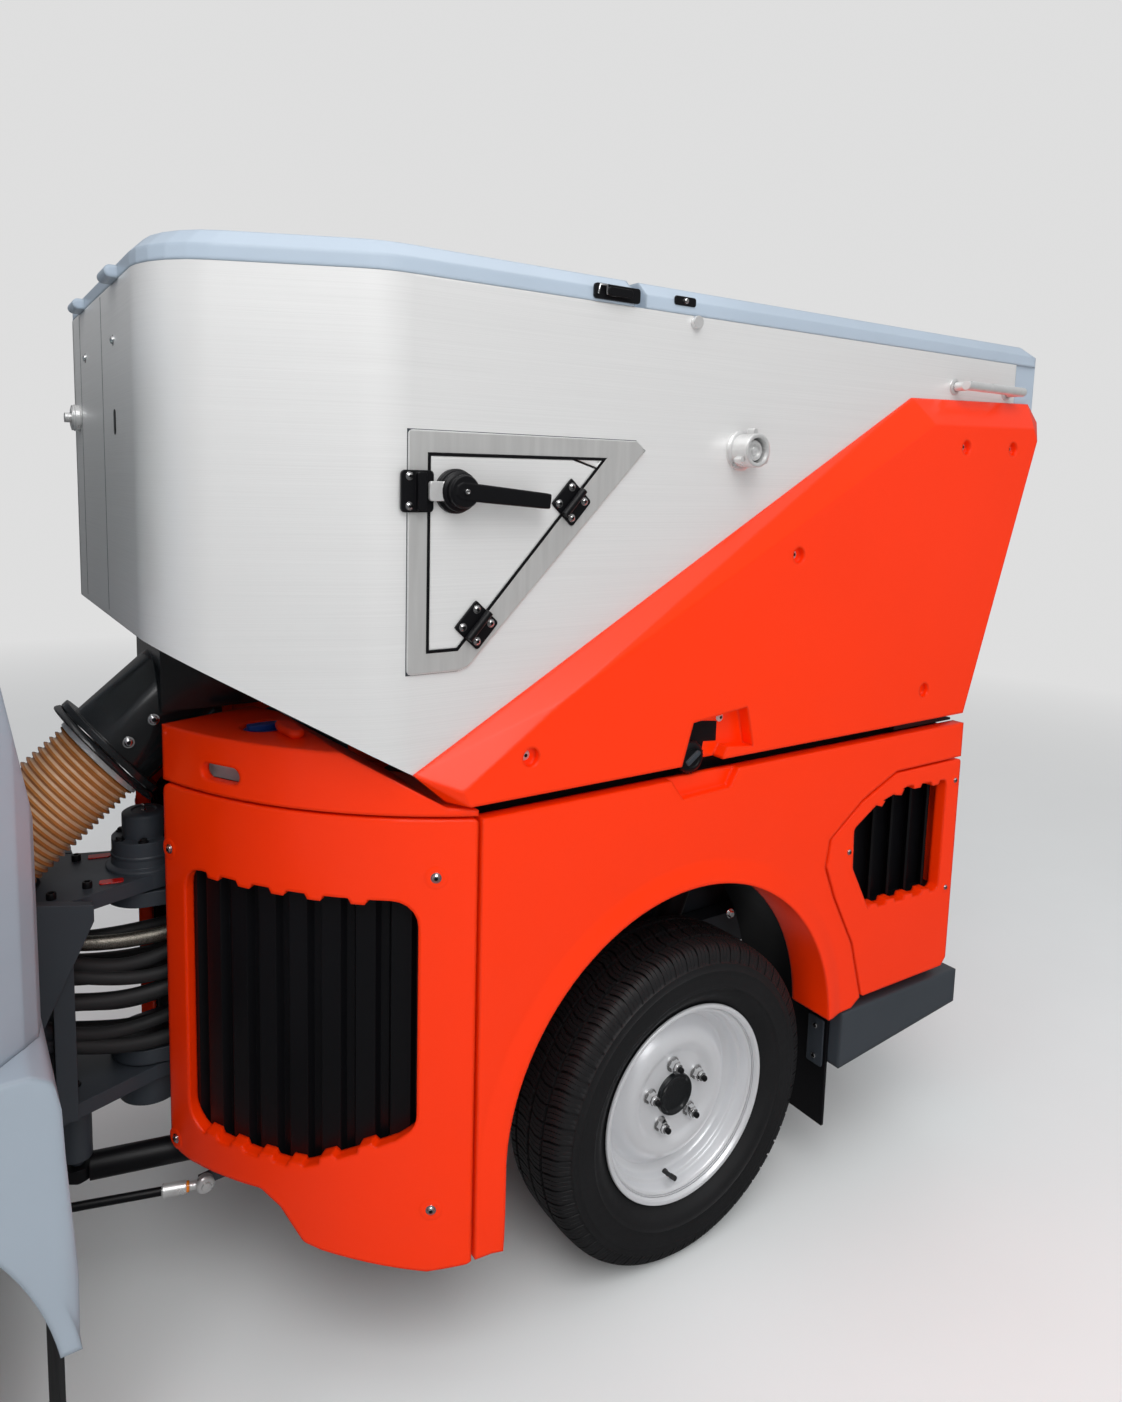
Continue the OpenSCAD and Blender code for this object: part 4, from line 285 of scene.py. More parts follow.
def tyre_data():
    """Winter tread: three grooves, lateral cuts that run over the shoulder, sipes, and a ribbed blank sidewall."""
    rows = [(-a, r, k) for a, r, k in reversed(TREAD_HALF[1:])] + list(TREAD_HALF)
    verts = []
    for pitch in range(PITCHES):
        for share, cut, sipe in CUTS:
            for a, r, kind in rows:
                drop = {"t": 7.0 * cut + 3.2 * sipe, "s": 5.5 * cut + 1.6 * sipe, "g": 0, "w": 0}[kind]
                turn = 2 * math.pi * (pitch + share) / PITCHES + 0.02 * math.sin(a / 17.0)
                verts.append(((r - drop) * MM * math.cos(turn), (r - drop) * MM * math.sin(turn), a * MM))
    faces = grid_faces(PITCHES * len(CUTS), len(rows), wrap_rows=True)
    return sharpen(mesh_object("tyre", verts, faces, TYRE), 40)


RIM_LOOP = (  # radius, height towards the outer side
    (220, 79.5), (220, 83), (218.6, 85), (215.5, 85.3), (211.5, 84.2), (208.6, 80.6), (206.6, 75.6), (203.6, 73),
    (199.6, 71.4),
    (197.2, 68), (196.2, 53), (194.6, 48.4), (191.2, 46), (188.2, 44.2), (186.6, 40), (185.6, 30.4), (183.6, 26.2),
    (179, 23.4),
    (174.4, 19.6), (170.6, 16.8), (166.4, 17.2), (160, 22.6), (152.4, 32), (144, 41.6), (135.4, 48.4), (126, 51.6),
    (116.6, 51.2),
    (108.6, 47.6), (102, 42), (97, 39), (92, 38), (47, 38), (40, 38), (40, 29), (92, 29), (104, 33), (118, 43),
    (134, 39),
    (150, 22), (163, 6), (167, -12), (186, -38), (195, -70), (206, -77), (211, -84.6), (218, -85), (220, -79.5),
    (204.4, -75.6),
    (202, -42), (177, -14), (177, 14), (202, 48), (204.4, 75.6),
)


def hex_prism(name, radius, low, high, look, chamfer=0.0012):
    """Six-sided nut or bolt head with a chamfered crown."""
    verts, rings = [], ((radius, low), (radius, high - chamfer), (radius - chamfer * 1.4, high))
    for r, z in rings:
        verts += [(r * math.cos(math.pi * i / 3), r * math.sin(math.pi * i / 3), z) for i in range(6)]
    faces = [(k * 6 + i, k * 6 + (i + 1) % 6, k * 6 + 6 + (i + 1) % 6,
        k * 6 + 6 + i) for k in range(2) for i in range(6)]
    faces += [tuple(range(12, 18)), tuple(range(5, -1, -1))]
    return mesh_object(name, verts, faces, look, False)


def join(name, parts):
    """One object from several, each already in place, keeping every material."""
    mesh = bmesh.new()
    data = bpy.data.meshes.new(name)
    for part in parts:
        look = part.data.materials[0]
        if look.name not in data.materials:
            data.materials.append(look)
        index = data.materials.find(look.name)
        for poly in part.data.polygons:
            poly.material_index = index
        part.data.transform(part.matrix_basis)
        mesh.from_mesh(part.data)
        old = part.data
        bpy.data.objects.remove(part)
        bpy.data.meshes.remove(old)
    mesh.to_mesh(data)
    mesh.free()
    return linked(name, data)


def rim_data():
    """Pressed steel wheel with its nuts, stud ends, hub cap and valve."""
    parts = [lathe("rim", [(r * MM, h * MM) for r, h in RIM_LOOP + RIM_LOOP[:1]], RIM, 128)]
    cap = ((47.5, 37), (47.2, 45), (45.6, 48), (42.6, 48.6), (40, 47), (38.2, 43.4), (35, 41.6), (18, 41), (0.01, 41))
    parts.append(lathe("cap", [(r * MM, h * MM) for r, h in cap], GLOSS, 64))
    for i in range(5):
        turn = 2 * math.pi * (i - 0.18) / 5
        at = Matrix.Translation((0.07 * math.cos(turn), 0.07 * math.sin(turn), 0))
        washer = lathe("washer", [(0.001, 0.0415), (0.0155, 0.0415), (0.0172, 0.040), (0.0172, 0.038)], CHROME, 24)
        nut = hex_prism("nut", 0.0135, 0.041, 0.056, CHROME, 0.002)
        dome = lathe("dome", [(0.0108, 0.056), (0.0098, 0.0605), (0.0072, 0.062), (0.0001, 0.062)], CHROME, 20)
        stud = lathe("stud", [(0.0066, 0.061), (0.0066, 0.0685), (0.0056, 0.070), (0.0001, 0.070)], BLACK, 16)
        for part in (washer, nut, dome, stud):
            part.matrix_basis = at
            parts.append(part)
    stem = lathe("valve", [(0.0075, 0.0), (0.0072, 0.004), (0.0052, 0.008), (0.0046, 0.020), (0.0056, 0.021),
        (0.0056, 0.035), (0.0001, 0.037)], RUBBER, 20)
    stem.matrix_basis = Matrix.Translation((0.012, 0.187, 0.034)) @ Matrix.Rotation(math.radians(12), 4, "X")
    parts.append(stem)
    return join("wheel", parts)


def wheel_place(x, side):
    """Local Z points outwards, local X forward."""
    out = Vector((0, side, 0))
    ahead = Vector((1, 0, 0))
    turn = Matrix((ahead, out.cross(ahead), out)).transposed().to_4x4()
    return Matrix.Translation((x, side * WHEEL_Y, TYRE_R)) @ turn


def wheels():
    shapes = {"tyre": tyre_data(), "rim": rim_data()}
    for kind, first in shapes.items():
        for axle, x in AXLES.items():
            for side, word in SIDES:
                piece = linked(f"{kind}_shape_{axle}_{word}", first.data)
                piece.matrix_world = wheel_place(x, side)
                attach(piece, f"wheel_{axle}_{word}")
                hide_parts(f"{kind}_{axle}_{word}")
        bpy.data.objects.remove(first)


# ---------------------------------------------------------------- hoses
def tube_along(name, points, radius, look, around=20, ends=True):
    """A tube through points; radius is a number or a function of the share along it."""
    points = [Vector(p) for p in points]
    verts, side = [], None
    for i, p in enumerate(points):
        ahead = (points[min(i + 1, len(points) - 1)] - points[max(i - 1, 0)]).normalized()
        if side is None:
            side = ahead.cross(Vector((0, 1, 0))) if abs(ahead.y) < 0.9 else ahead.cross(Vector((1, 0, 0)))
        side = (side - ahead * side.dot(ahead)).normalized()
        up = ahead.cross(side)
        r = radius(i / (len(points) - 1)) if callable(radius) else radius
        verts += [p + r * (math.cos(t) * side + math.sin(t) * up) for t in (2 * math.pi * k / around for k in range(around))]
    faces = grid_faces(len(points), around, wrap_columns=True)
    if ends:
        faces += [tuple(range(around - 1, -1, -1)), tuple(range(len(verts) - around, len(verts)))]
    return sharpen(mesh_object(name, verts, faces, look), 60)


HOSE_TOP, HOSE_LOW = Vector((0.062, 0, 1.143)), Vector((0.318, 0, 0.926))


def suction_hose():
    """Brown wire-spiral hose: swollen turns over a slack film, and the flat cuff at its upper end."""
    turns, per_turn = 24, 8
    count = turns * per_turn

    def radius(share):
        wave = 0.5 + 0.5 * math.cos(2 * math.pi * turns * share)
        return 0.0845 + 0.0085 * wave ** 1.6

    points = [HOSE_TOP.lerp(HOSE_LOW, 0.05 + 0.95 * i / count) for i in range(count + 1)]
    hose = tube_along("hose_spiral", points, radius, HOSE, 64, ends=False)
    hose.data.materials.append(FILM)
    for face in hose.data.polygons:
        face.material_index = int(2 < (face.index // 64) % per_turn < 6)
    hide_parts("suction_hose")
    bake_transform(hose)
    along = (HOSE_LOW - HOSE_TOP).normalized()
    clamp = tube_along("hose_clamp", [HOSE_TOP + along * d for d in (0.013, 0.0135, 0.026, 0.0265)],
                       lambda share: 0.0955 if 0.2 < share < 0.8 else 0.0935, BRIGHT, 64, ends=False)
    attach(clamp, "rear")


# ---------------------------------------------------------------- small hardware
def facing(place, normal, up=(0, 0, 1)):
    """Matrix of a piece at a place in mm: local Z along the normal, local Y as near to up as it can be."""
    z = Vector(normal).normalized()
    x = Vector(up).cross(z)
    x = Vector((1, 0, 0)) if x.length < 1e-3 else x.normalized()
    return Matrix.Translation(Vector(place) * MM) @ Matrix((x, z.cross(x), z)).transposed().to_4x4()


def extruded(name, outline, low, high, look, soft=1.5, steps=2):
    """Prism on an outline in mm, local Z up, with softened edges."""
    mesh = bmesh.new()
    base = mesh.faces.new([mesh.verts.new((x * MM, y * MM, low * MM)) for x, y in outline])
    grown = bmesh.ops.extrude_face_region(mesh, geom=[base])["geom"]
    bmesh.ops.translate(mesh, verts=[v for v in grown if isinstance(v, bmesh.types.BMVert)],
        vec=(0, 0, (high - low) * MM))
    bmesh.ops.recalc_face_normals(mesh, faces=mesh.faces)
    if soft:
        bmesh.ops.bevel(mesh, geom=mesh.edges[:], offset=soft * MM, segments=steps, profile=0.5, affect="EDGES",
            clamp_overlap=True)
    return from_bmesh(name, mesh, look)


def rounded_box(w, h, corner, steps=5):
    """Outline of a rectangle about its middle with round corners, in mm."""
    points = []
    for k, (sx, sy) in enumerate(((1, 1), (-1, 1), (-1, -1), (1, -1))):
        for i in range(steps + 1):
            turn = math.pi / 2 * (k + i / steps)
            points.append((sx * (w / 2 - corner) + corner * math.cos(turn),
                sy * (h / 2 - corner) + corner * math.sin(turn)))
    return points


def tile(name, size, low, high, look, soft=1.5, steps=2):
    """Prism on a rectangle with round corners: width, height, corner and, if given, steps."""
    return extruded(name, rounded_box(*size), low, high, look, soft, steps)


def outward(x, y, z, side):
    """Place on one side of the machine, looking away from its middle."""
    return facing((x, side * y, z), (0, side, 0))


def upright(side):
    """Stands an outline drawn in x and z up on one side of the machine."""
    return Matrix.Rotation(math.pi / 2, 4, "X") @ Matrix.Scale(-side, 4, (0, 0, 1))


def turned(name, profile, look, steps=32):
    return lathe(name, [(max(r, 0.02) * MM, h * MM) for r, h in profile], look, steps)


def bolt(kind, r, look):
    """A bolt on the face z = 0: hex with flange, round head with socket, or cap screw; r is the head's radius in mm."""
    if kind == "hex":
        return [turned("flange", ((r * 1.45, 0), (r * 1.45, r * 0.16), (r * 1.3, r * 0.3), (0, r * 0.34)), look, 24),
                hex_prism("head", r * MM, r * 0.25 * MM, r * 1.05 * MM, look, r * 0.16 * MM)]
    if kind == "button":
        head = ((r * 1.35, 0), (r * 1.35, r * 0.12), (r, r * 0.16), (r * 0.96, r * 0.4), (r * 0.72, r * 0.64),
            (r * 0.5, r * 0.7))
        return [turned("head", head, look, 24),
                hex_prism("socket", r * 0.5 * MM, 0.0, r * 0.71 * MM, BLACK, r * 0.05 * MM)]
    head = ((r, 0), (r, r * 1.15), (r * 0.9, r * 1.3), (r * 0.58, r * 1.3), (r * 0.56, r * 0.6), (0, r * 0.6))
    return [turned("head", head, look, 24)]


def placed(parts, matrix):
    for part in parts:
        part.matrix_basis = matrix @ part.matrix_basis
    return parts


def fit(name, body, parts):
    """Joins parts that are in place and hangs them on a body."""
    piece = join(name, parts)
    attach(piece, body)
    return piece


def bolts(rows, look=None):
    """Rows of kind, head radius, place in mm, normal."""
    parts = []
    for kind, r, place, normal in rows:
        parts += placed(bolt(kind, r, look or CHROME), facing(place, normal))
    return parts


def mirrored(rows):
    return rows + [(k, r, (p[0], -p[1], p[2]), (n[0], -n[1], n[2])) for k, r, p, n in rows]


# ---------------------------------------------------------------- hopper, lid, tailgate and hatch
COUPLING = (-1052, 560, 1753)
COVER_BOLTS = ((-1752, 1786), (-1947, 1788), (-1185, 1542), (-1646, 1208), (-525, 1204), (-1011, 1211))


def touch(node, start, aim):
    """Where a ray from a place in mm first meets a node, in mm."""
    obj = NODES[node]
    back = obj.matrix_world.inverted()
    hit, place, _, _ = obj.ray_cast(back @ (Vector(start) * MM), (back.to_3x3() @ Vector(aim)).normalized())
    return (obj.matrix_world @ place) * 1000 if hit else Vector(start)


NOSE = (  # plan: point before, corner, point after, round
    ((59, 0), (59, 412), (-273, 560), 150), ((59, 412), (-273, 560), (-900, 560), 220))


def nose_sheet(side):
    """Rolled sheet round one front corner of the hopper, between the lid and the sloping floor."""
    plan, rows = [], 12
    for before, corner, after, r in NOSE:
        corner = Vector(corner)
        one, two = (Vector(before) - corner).normalized(), (Vector(after) - corner).normalized()
        half = math.acos(one.dot(two)) / 2
        centre = corner + (one + two).normalized() * r / math.sin(half)
        first, last = (corner + d * r / math.tan(half) - centre for d in (one, two))
        a, b = math.atan2(first.y, first.x), math.atan2(last.y, last.x)
        turns = [a + (b - a) * i / 32 for i in range(33)]
        plan += [centre + Vector((math.cos(t), math.sin(t))) * (r + 0.6) for t in turns]
    verts = []
    for q in plan:
        low = 1412 - 0.586 * (59 - q.x)
        verts += [(q.x * MM, side * q.y * MM, (low + (2002.5 - low) * j / rows) * MM) for j in range(rows + 1)]
    faces = grid_faces(len(plan), rows + 1)
    return mesh_object("sheet", verts, faces if side > 0 else [f[::-1] for f in faces], STEEL)


def hopper_dress():
    rows = [("button", 7, touch("hopper_covers", (x, 700, z), (0, -1, 0)), (0, 1, 0)) for x, z in COVER_BOLTS]
    parts = bolts(mirrored(rows), BRIGHT)
    for side in (1, -1):
        for x in (-1757, -1975):  # feet of the grab handle
            foot = turned("foot", ((19, 0), (19, 3), (16, 4.5), (12.5, 6)), BRIGHT, 28)
            parts += placed([foot], outward(x, 560, 1930, side))
        coupling = outward(*COUPLING, side)
        for turn in range(3):  # lugs of the water coupling
            lug = tile("lug", (14, 11, 4), 22, 40, BRIGHT, 2)
            lug.matrix_basis = Matrix.Rotation(math.radians(90 + 120 * turn), 4,
                "Z") @ Matrix.Translation((37 * MM, 0, 0))
            parts += placed([lug], coupling)
        for name, profile, steps in (
            ("ring", ((25.2, 44), (25.2, 49), (30, 50), (33.4, 48.5), (33.4, 40)), 48),
            ("base", ((40, 0), (40, 4), (38, 6), (33.2, 8)), 48),
            ("valve", ((21, 15), (21, 38), (18.5, 41), (13, 41), (12, 37), (8, 37), (7, 40), (0, 41)), 40)):
            parts += placed([turned(name, profile, BRIGHT, steps)], coupling)
    nozzle = ((25.9, 1), (27.5, 2), (27.5, 11), (26, 13), (22, 14), (21, 17.5), (12, 18.5))
    parts += placed([turned("knob", nozzle, BRIGHT, 40)], facing((59, -260, 1795), (1, 0, 0)))
    parts += bolts([("button", 7, (59, 158, 1909), (1, 0, 0)), ("button", 7, (59, -158, 1909), (1, 0, 0))])
    fit("hopper_bolts", "hopper", parts)

    dark = []
    # black tile where the slot hole is: painted shade in the hole
    slot = tile("slot", (16, 44, 7.5), 0, 1.2, BLACK, 0.4, 1)
    dark += placed([slot], facing((59, 155, 1770), (1, 0, 0)))
    for side in (1, -1):  # black disc across the bore of the water coupling: painted shade in its hollow
        seal = turned("seal", ((24.8, 12), (24.8, 15), (20, 15.5), (3, 15.5), (0, 15)), BLACK, 32)
        dark += placed([seal], outward(*COUPLING, side))
    fit("hopper_hole_shade", "hopper", dark)

    for side, word in SIDES:
        fit("nose_sheet_" + word, "hopper", [nose_sheet(side)])
    seams = []  # sheet joints on the hopper's front
    for y in (37, -225):
        seam = extruded("seam", [(-0.9, 0), (0.9, 0), (0.9, 575), (-0.9, 575)], 0, 0.4, DARK, 0)
        seams += placed([seam], facing((59, y, 1424), (1, 0, 0)))
    fit("hopper_seams", "hopper", seams)


def inlet_dress():
    """Bolts on the gloss-black inlet pipe, and the rolled lip of its flange."""
    along = (HOSE_LOW - HOSE_TOP).normalized()
    side, up = Vector((0, 1, 0)), Vector((along.z, 0, -along.x)) * -1
    rows = []
    for back, turn in ((38, 8), (98, 8), (38, 172), (98, 172)):
        t = math.radians(turn)
        normal = math.cos(t) * side + math.sin(t) * up
        rows.append(("button", 8, (HOSE_TOP * 1000 - along * back + normal * 101), normal))
    parts = bolts(rows)
    fit("inlet_bolts", "hopper", parts)
    lip = ((121.5, 0), (125, -2), (128.5, -7), (129.5, -11), (128, -13), (124.5, -10), (119, -6.5), (113, -6))
    ring = placed([turned("lip", lip, GLOSS, 96)], facing(HOSE_TOP * 1000 + along * 1.0, -along))
    fit("inlet_lip", "rear", ring)


def lid_dress():
    for side, word in SIDES:
        face = outward(-722, 560.2, 2021, side)
        plate = tile("plate", (104, 27, 6), 0, 6, BLACK, 1.5)
        grip = tile("grip", (56, 15, 6), 5, 15, BLACK, 3, 3)
        clip = tube_along("clip", [Vector((x * MM, y * MM, z * MM)) for x, y, z in
                                   ((-46, -6, 8), (-44, 9, 10), (-30, 10, 11), (-28, -4, 10), (-10, -6, 9))], 0.0022,
                                   CHROME, 8)
        fit("lid_latch_" + word, "lid", placed([plate, grip, clip], face))
        notch = tile("notch", (54, 17, 5), 0, 2.2, BLACK, 0.8)
        pin = turned("pin", ((5, 1), (5, 6), (3.5, 7.5), (0, 7.5)), CHROME, 20)
        fit("gate_catch_" + word, "gate", placed([notch, pin], outward(-887, 560.2, 2027, side)))


def hatch_dress():
    """Hinge leaves with four bolts each, the latch with its lever, and the keeper on the hopper."""
    axis = Vector((-0.67549, 0, 0.73737))
    out = Vector((0, 1, 0))
    across = axis.cross(out)
    rows, leaves = [], []
    for x, z in ((-631.6, 1646.1), (-439.4, 1436.3)):
        middle = Vector((x, 567.6, z))
        rows += [("button", 5.5, middle + axis * a + across * c, (0, 1, 0)) for a in (-20, 20) for c in (-19, 19)]
        leaf = tile("leaf", (62, 62, 6), 0, 3.4, BLACK, 1)
        turn = Matrix((across, axis, out)).transposed().to_4x4()
        leaves += placed([leaf], Matrix.Translation(Vector((x, 564.2, z)) * MM) @ turn)
    knob = (-393.9, 564, 1663.2)
    rows.append(("cap", 4.5, (knob[0], 605.5, knob[2]), (0, 1, 0)))
    fit("hatch_bolts", "hatch", bolts(rows))
    boss = turned("boss", ((37, 0), (37, 8), (34, 11), (30, 11.5), (30, 13), (33, 14), (33, 22), (30, 25), (26.2, 26)),
        BLACK, 48)
    grip = turned("grip", ((26.2, 22), (27.5, 24), (27.5, 37), (25, 40.5), (14, 41), (12, 38), (0, 38)), BLACK, 40)
    lever = extruded("lever", [(160, -13.4), (168, -12.6), (168, 12.6), (160, 13.4), (20, 15), (-8, 15), (-18, 8),
        (-18, -8), (-8, -15), (20, -15)],
                     25, 42, BLACK, 3, 3)
    lever.matrix_basis = Matrix.Rotation(math.radians(-5), 4, "Z")
    tongue = tile("tongue", (34, 32, 5), 12, 20, BRIGHT, 1.5)
    tongue.matrix_basis = Matrix.Translation((-0.038, 0, 0))
    fit("hatch_latch", "hatch", placed([boss, grip, lever, tongue], facing(knob, (0, 1, 0))) + leaves)
    face = facing((-324, 564, 1662.5), (0, 1, 0))
    keeper = [tile("plate", (58, 68, 7), 0, 6, BLACK, 1.8), tile("rib", (16, 62, 4), 5, 16, BLACK, 3, 3)]
    keeper[1].matrix_basis = Matrix.Translation((0.004, 0, 0))
    screws = bolts([("button", 5, (-309, 570, 1662.5 + dz), (0, 1, 0)) for dz in (-24, 24)])
    fit("hatch_keeper", "hopper", placed(keeper, face) + screws)


FRAME_OUT = ((-310, 1360), (-310, 1761), (-779, 1761), (-801, 1744), (-425, 1365), (-406, 1360))
FRAME_IN = ((-346.8, 1396.9), (-346.8, 1722.9), (-703.8, 1725), (-403.3, 1396.9))


def grown(points, by):
    """A closed outline moved outwards by a distance; the points run either way round."""
    points = [Vector(q) for q in points]
    turn = sum(q.x * r.y - r.x * q.y for q, r in zip(points, points[1:] + points[:1]))
    by = by if turn > 0 else -by
    out = []
    for i, q in enumerate(points):
        one, two = (q - points[i - 1]).normalized(), (points[(i + 1) % len(points)] - q).normalized()
        normals = Vector((one.y, -one.x)), Vector((two.y, -two.x))
        middle = (normals[0] + normals[1]).normalized()
        out.append(q + middle * by / max(0.3, middle.dot(normals[0])))
    return out


def band(name, outer, inner, low, high, look):
    """Flat ring between two outlines in the XZ plane, standing out along Y from low to high."""
    mesh = bmesh.new()
    rings = []
    for outline in (outer, inner):
        for y in (low, high):
            rings.append([mesh.verts.new((q[0] * MM, y * MM, q[1] * MM)) for q in outline])
    edges = []
    for ring in (rings[1], rings[3]):
        edges += [mesh.edges.new((ring[i - 1], ring[i])) for i in range(len(ring))]
    bmesh.ops.triangle_fill(mesh, edges=edges, use_beauty=True, use_dissolve=False)
    for one, two in ((rings[0], rings[1]), (rings[2], rings[3])):
        for i in range(len(one)):
            mesh.faces.new((one[i - 1], one[i], two[i], two[i - 1]))
    bmesh.ops.recalc_face_normals(mesh, faces=mesh.faces[:])
    return from_bmesh(name, mesh, look)


def hatch_frame():
    """Brushed frame plate of the hatch with a dark band under its edge as a painted shadow line round it, and a black
    seal in the door's gap.
    """
    plate = band("plate", grown(FRAME_OUT, -1.5), grown(FRAME_IN, 3), 563.5, 564.6, FRAME_STEEL)
    shadow = band("shadow", grown(FRAME_OUT, 1.4), grown(FRAME_OUT, -4), 559, 560.8, DARK)
    seal = band("seal", grown(FRAME_IN, 2.6), grown(FRAME_IN, -2.6), 562.5, 564.9, BLACK)
    corner = band("corner", ((-703.8, 1725), (-638, 1724.6), (-689.5, 1709.4)),
        ((-692, 1721), (-688, 1721), (-691, 1718)), 561, 564.2, STEEL)
    fit("hatch_frame", "hopper", [plate, shadow, seal, corner])


# ---------------------------------------------------------------- rear body
CORNER = Vector((-747, -110, 0))


def on_corner(degrees, z, r=778.0, side=1):
    t = math.radians(degrees)
    place = CORNER + Vector((r * math.cos(t), r * math.sin(t), z))
    return (place.x, side * place.y, z), (math.cos(t), side * math.sin(t), 0)


def dimple(place, normal, look, r=17):
    """Soft raised ring with a bolt in its middle."""
    ring = ((r + 4, 0), (r + 2, 0.5), (r, 1.5), (r - 2.5, 1.6), (r - 6, 0.6), (0, 0.3))
    return placed([turned("dimple", ring, look, 40)], facing(place, normal))


def rear_dress():
    rings, rows = [], []
    for side in (1, -1):
        for degrees, z in ((60.7, 1002), (60.5, 379), (19.9, 978), (19.9, 386)):
            place, normal = on_corner(degrees, z, 778.0, side)
            rings += dimple(place, normal, ORANGE)
            rows.append(("button", 7, place, normal))
        for x, z in ((-1418, 850), (-1815, 959), (-1808, 679)):
            rings += dimple((x, side * 605, z), (0, side, 0), ORANGE, 12)
            rows.append(("button", 6, (x, side * 605, z), (0, side, 0)))
        rows.append(("hex", 8, (-1147, side * 504.5, 725), (0, side, 0)))
        for z in (395, 318):
            rows.append(("hex", 7, (-1418, side * 545, z), (1, 0, 0)))
        for y in (250, 420):
            rows.append(("button", 9, (-1873.5, side * y, 398), (-1, 0, 0)))
        for z in (1010, 700, 520):
            rows.append(("button", 8, (-1833.2, side * 555, z), (-1, 0, 0)))
    fit("body_dimples", "rear", rings)
    strips = []
    for side in (1, -1):
        strip = extruded("strip", [(-1828, 1106), (-1600, 1106), (-1600, 1128), (-1760, 1128), (-1800, 1116),
            (-1828, 1112)], 540, 572, RUBBER, 1.5)
        strip.matrix_basis = upright(side)
        strips.append(strip)
    fit("gap_strips", "rear", strips)
    fit("body_bolts", "rear", bolts(rows))
    for side, word in SIDES:
        ribs = []
        cap = turned("cap", ((31, 0), (33, 4), (33, 13), (30, 18), (24, 21.5), (20, 22), (18, 20), (0, 20)), BLACK, 48)
        ribs.append(cap)
        for i in range(26):
            rib = tile("rib", (3.4, 3.0, 1.2, 2), 1, 14, BLACK, 0.5, 1)
            rib.matrix_basis = Matrix.Rotation(2 * math.pi * i / 26, 4, "Z") @ Matrix.Translation((33.2 * MM, 0, 0))
            ribs.append(rib)
        bar = tile("bar", (40, 10, 4), 19, 25, DARK, 2)
        bar.matrix_basis = Matrix.Rotation(0.6, 4, "Z")
        ribs.append(bar)
        placed(ribs, outward(-922, 578.5, 1143, side))
        # thin black sheet in the pocket above the round cap: painted shade in the pocket
        hollow = extruded("hollow", [(-1003, 1204), (-905, 1216), (-914, 1140), (-962, 1140), (-968, 1166),
            (-1003, 1163)], 578, 579, BLACK, 0)
        hollow.matrix_basis = upright(side)
        fit("round_cap_" + word, "hopper", ribs + [hollow])
        bracket = tile("bracket", (46, 120, 6), 0, 4, DARK, 1.2)
        fit("flap_bracket_" + word, "rear",
            placed([bracket], facing((-1419, side * 545, 357), (1, 0, 0))))
        cap = turned("cap", ((40, -11), (40, -3), (38.5, 0), (34, 1.6), (30, 0.6), (0, 0.6)), BLUE, 48)
        bar = extruded("bar", [(-32, -5), (-30, -9), (-8, -12), (8, -12), (30, -9), (32, -5), (32, 5), (30, 9),
            (8, 12), (-8, 12), (-30, 9), (-32, 5)], 0, 12, BLUE, 3, 3)
        arm = extruded("arm", [(-40, side * 24), (-12, side * 24), (-6, side * 60), (-12, side * 112),
            (-26, side * 120), (-40, side * 112), (-46, side * 60)],
                       -1, 15, ORANGE, 7, 4)
        place = facing((-172, side * 240, 1217), (0, 0, 1), (0, 1, 0))
        placed_cap = placed([cap, bar], place @ Matrix.Translation((0, 0, -0.007))) + placed([arm], place)
        fit("filler_" + word, "rear", placed_cap)
        tank = tile("tank", (150, 46, 16), -14, 0, CLEAR, 6, 4)
        ridge = tile("ridge", (140, 6, 2.5, 3), -1, 2, CLEAR, 1.5)
        place, normal = on_corner(30.5, 1149, 738, side)
        fit("cowl_tank_" + word, "rear", placed([tank, ridge], facing(place, normal)))


def tail_dress():
    """Lens ribs, amber and clear fields of the tail lamps, and the blank plate."""
    for side, word in SIDES:
        face = facing((-1841, side * 470, 740), (-1, 0, 0))
        frame_line = [tile("frame", (132, 262, 14), -6, 1.2, BLACK, 1.5)]
        fields = []
        for z, h, look in ((82, 76, AMBER), (0, 76, RED), (-82, 76, CLEAR)):
            fields.append(tile("field", (112, h, 8), 0.6, 7, look, 2.5, 3))
            fields[-1].matrix_basis = Matrix.Translation((0, z * MM, 0))
            for k in range(-4, 5):
                rib = tile("rib", (4, h - 14, 1.5, 2), 6.6, 8.4, look, 0.8, 1)
                rib.matrix_basis = Matrix.Translation((k * 11 * MM, z * MM, 0))
                fields.append(rib)
        fit("tail_lens_" + word, "rear", placed(frame_line + fields, face))
    plate = tile("plate", (520, 114, 10), 0, 4, CLEAR, 1.2)
    rim = tile("rim", (536, 130, 14), -2, 1.5, BLACK, 1)
    fit("blank_plate", "rear", placed([rim, plate], facing((-1834, 0, 930), (-1, 0, 0))))


# ---------------------------------------------------------------- pivot and hoses
LINES = (  # sideways place, height of the ends, sag
    (-70, 640, 60), (-35, 650, 40), (-75, 720, 55), (70, 650, 70), (35, 690, 45), (75, 760, 60), (0, 790, 35),
    (52, 735, 40), (60, 615, 60), (20, 745, 50), (66, 795, 70), (12, 610, 48), (40, 806, 45), (80, 700, 35))
LINE_X = (-0.197, 0.227)


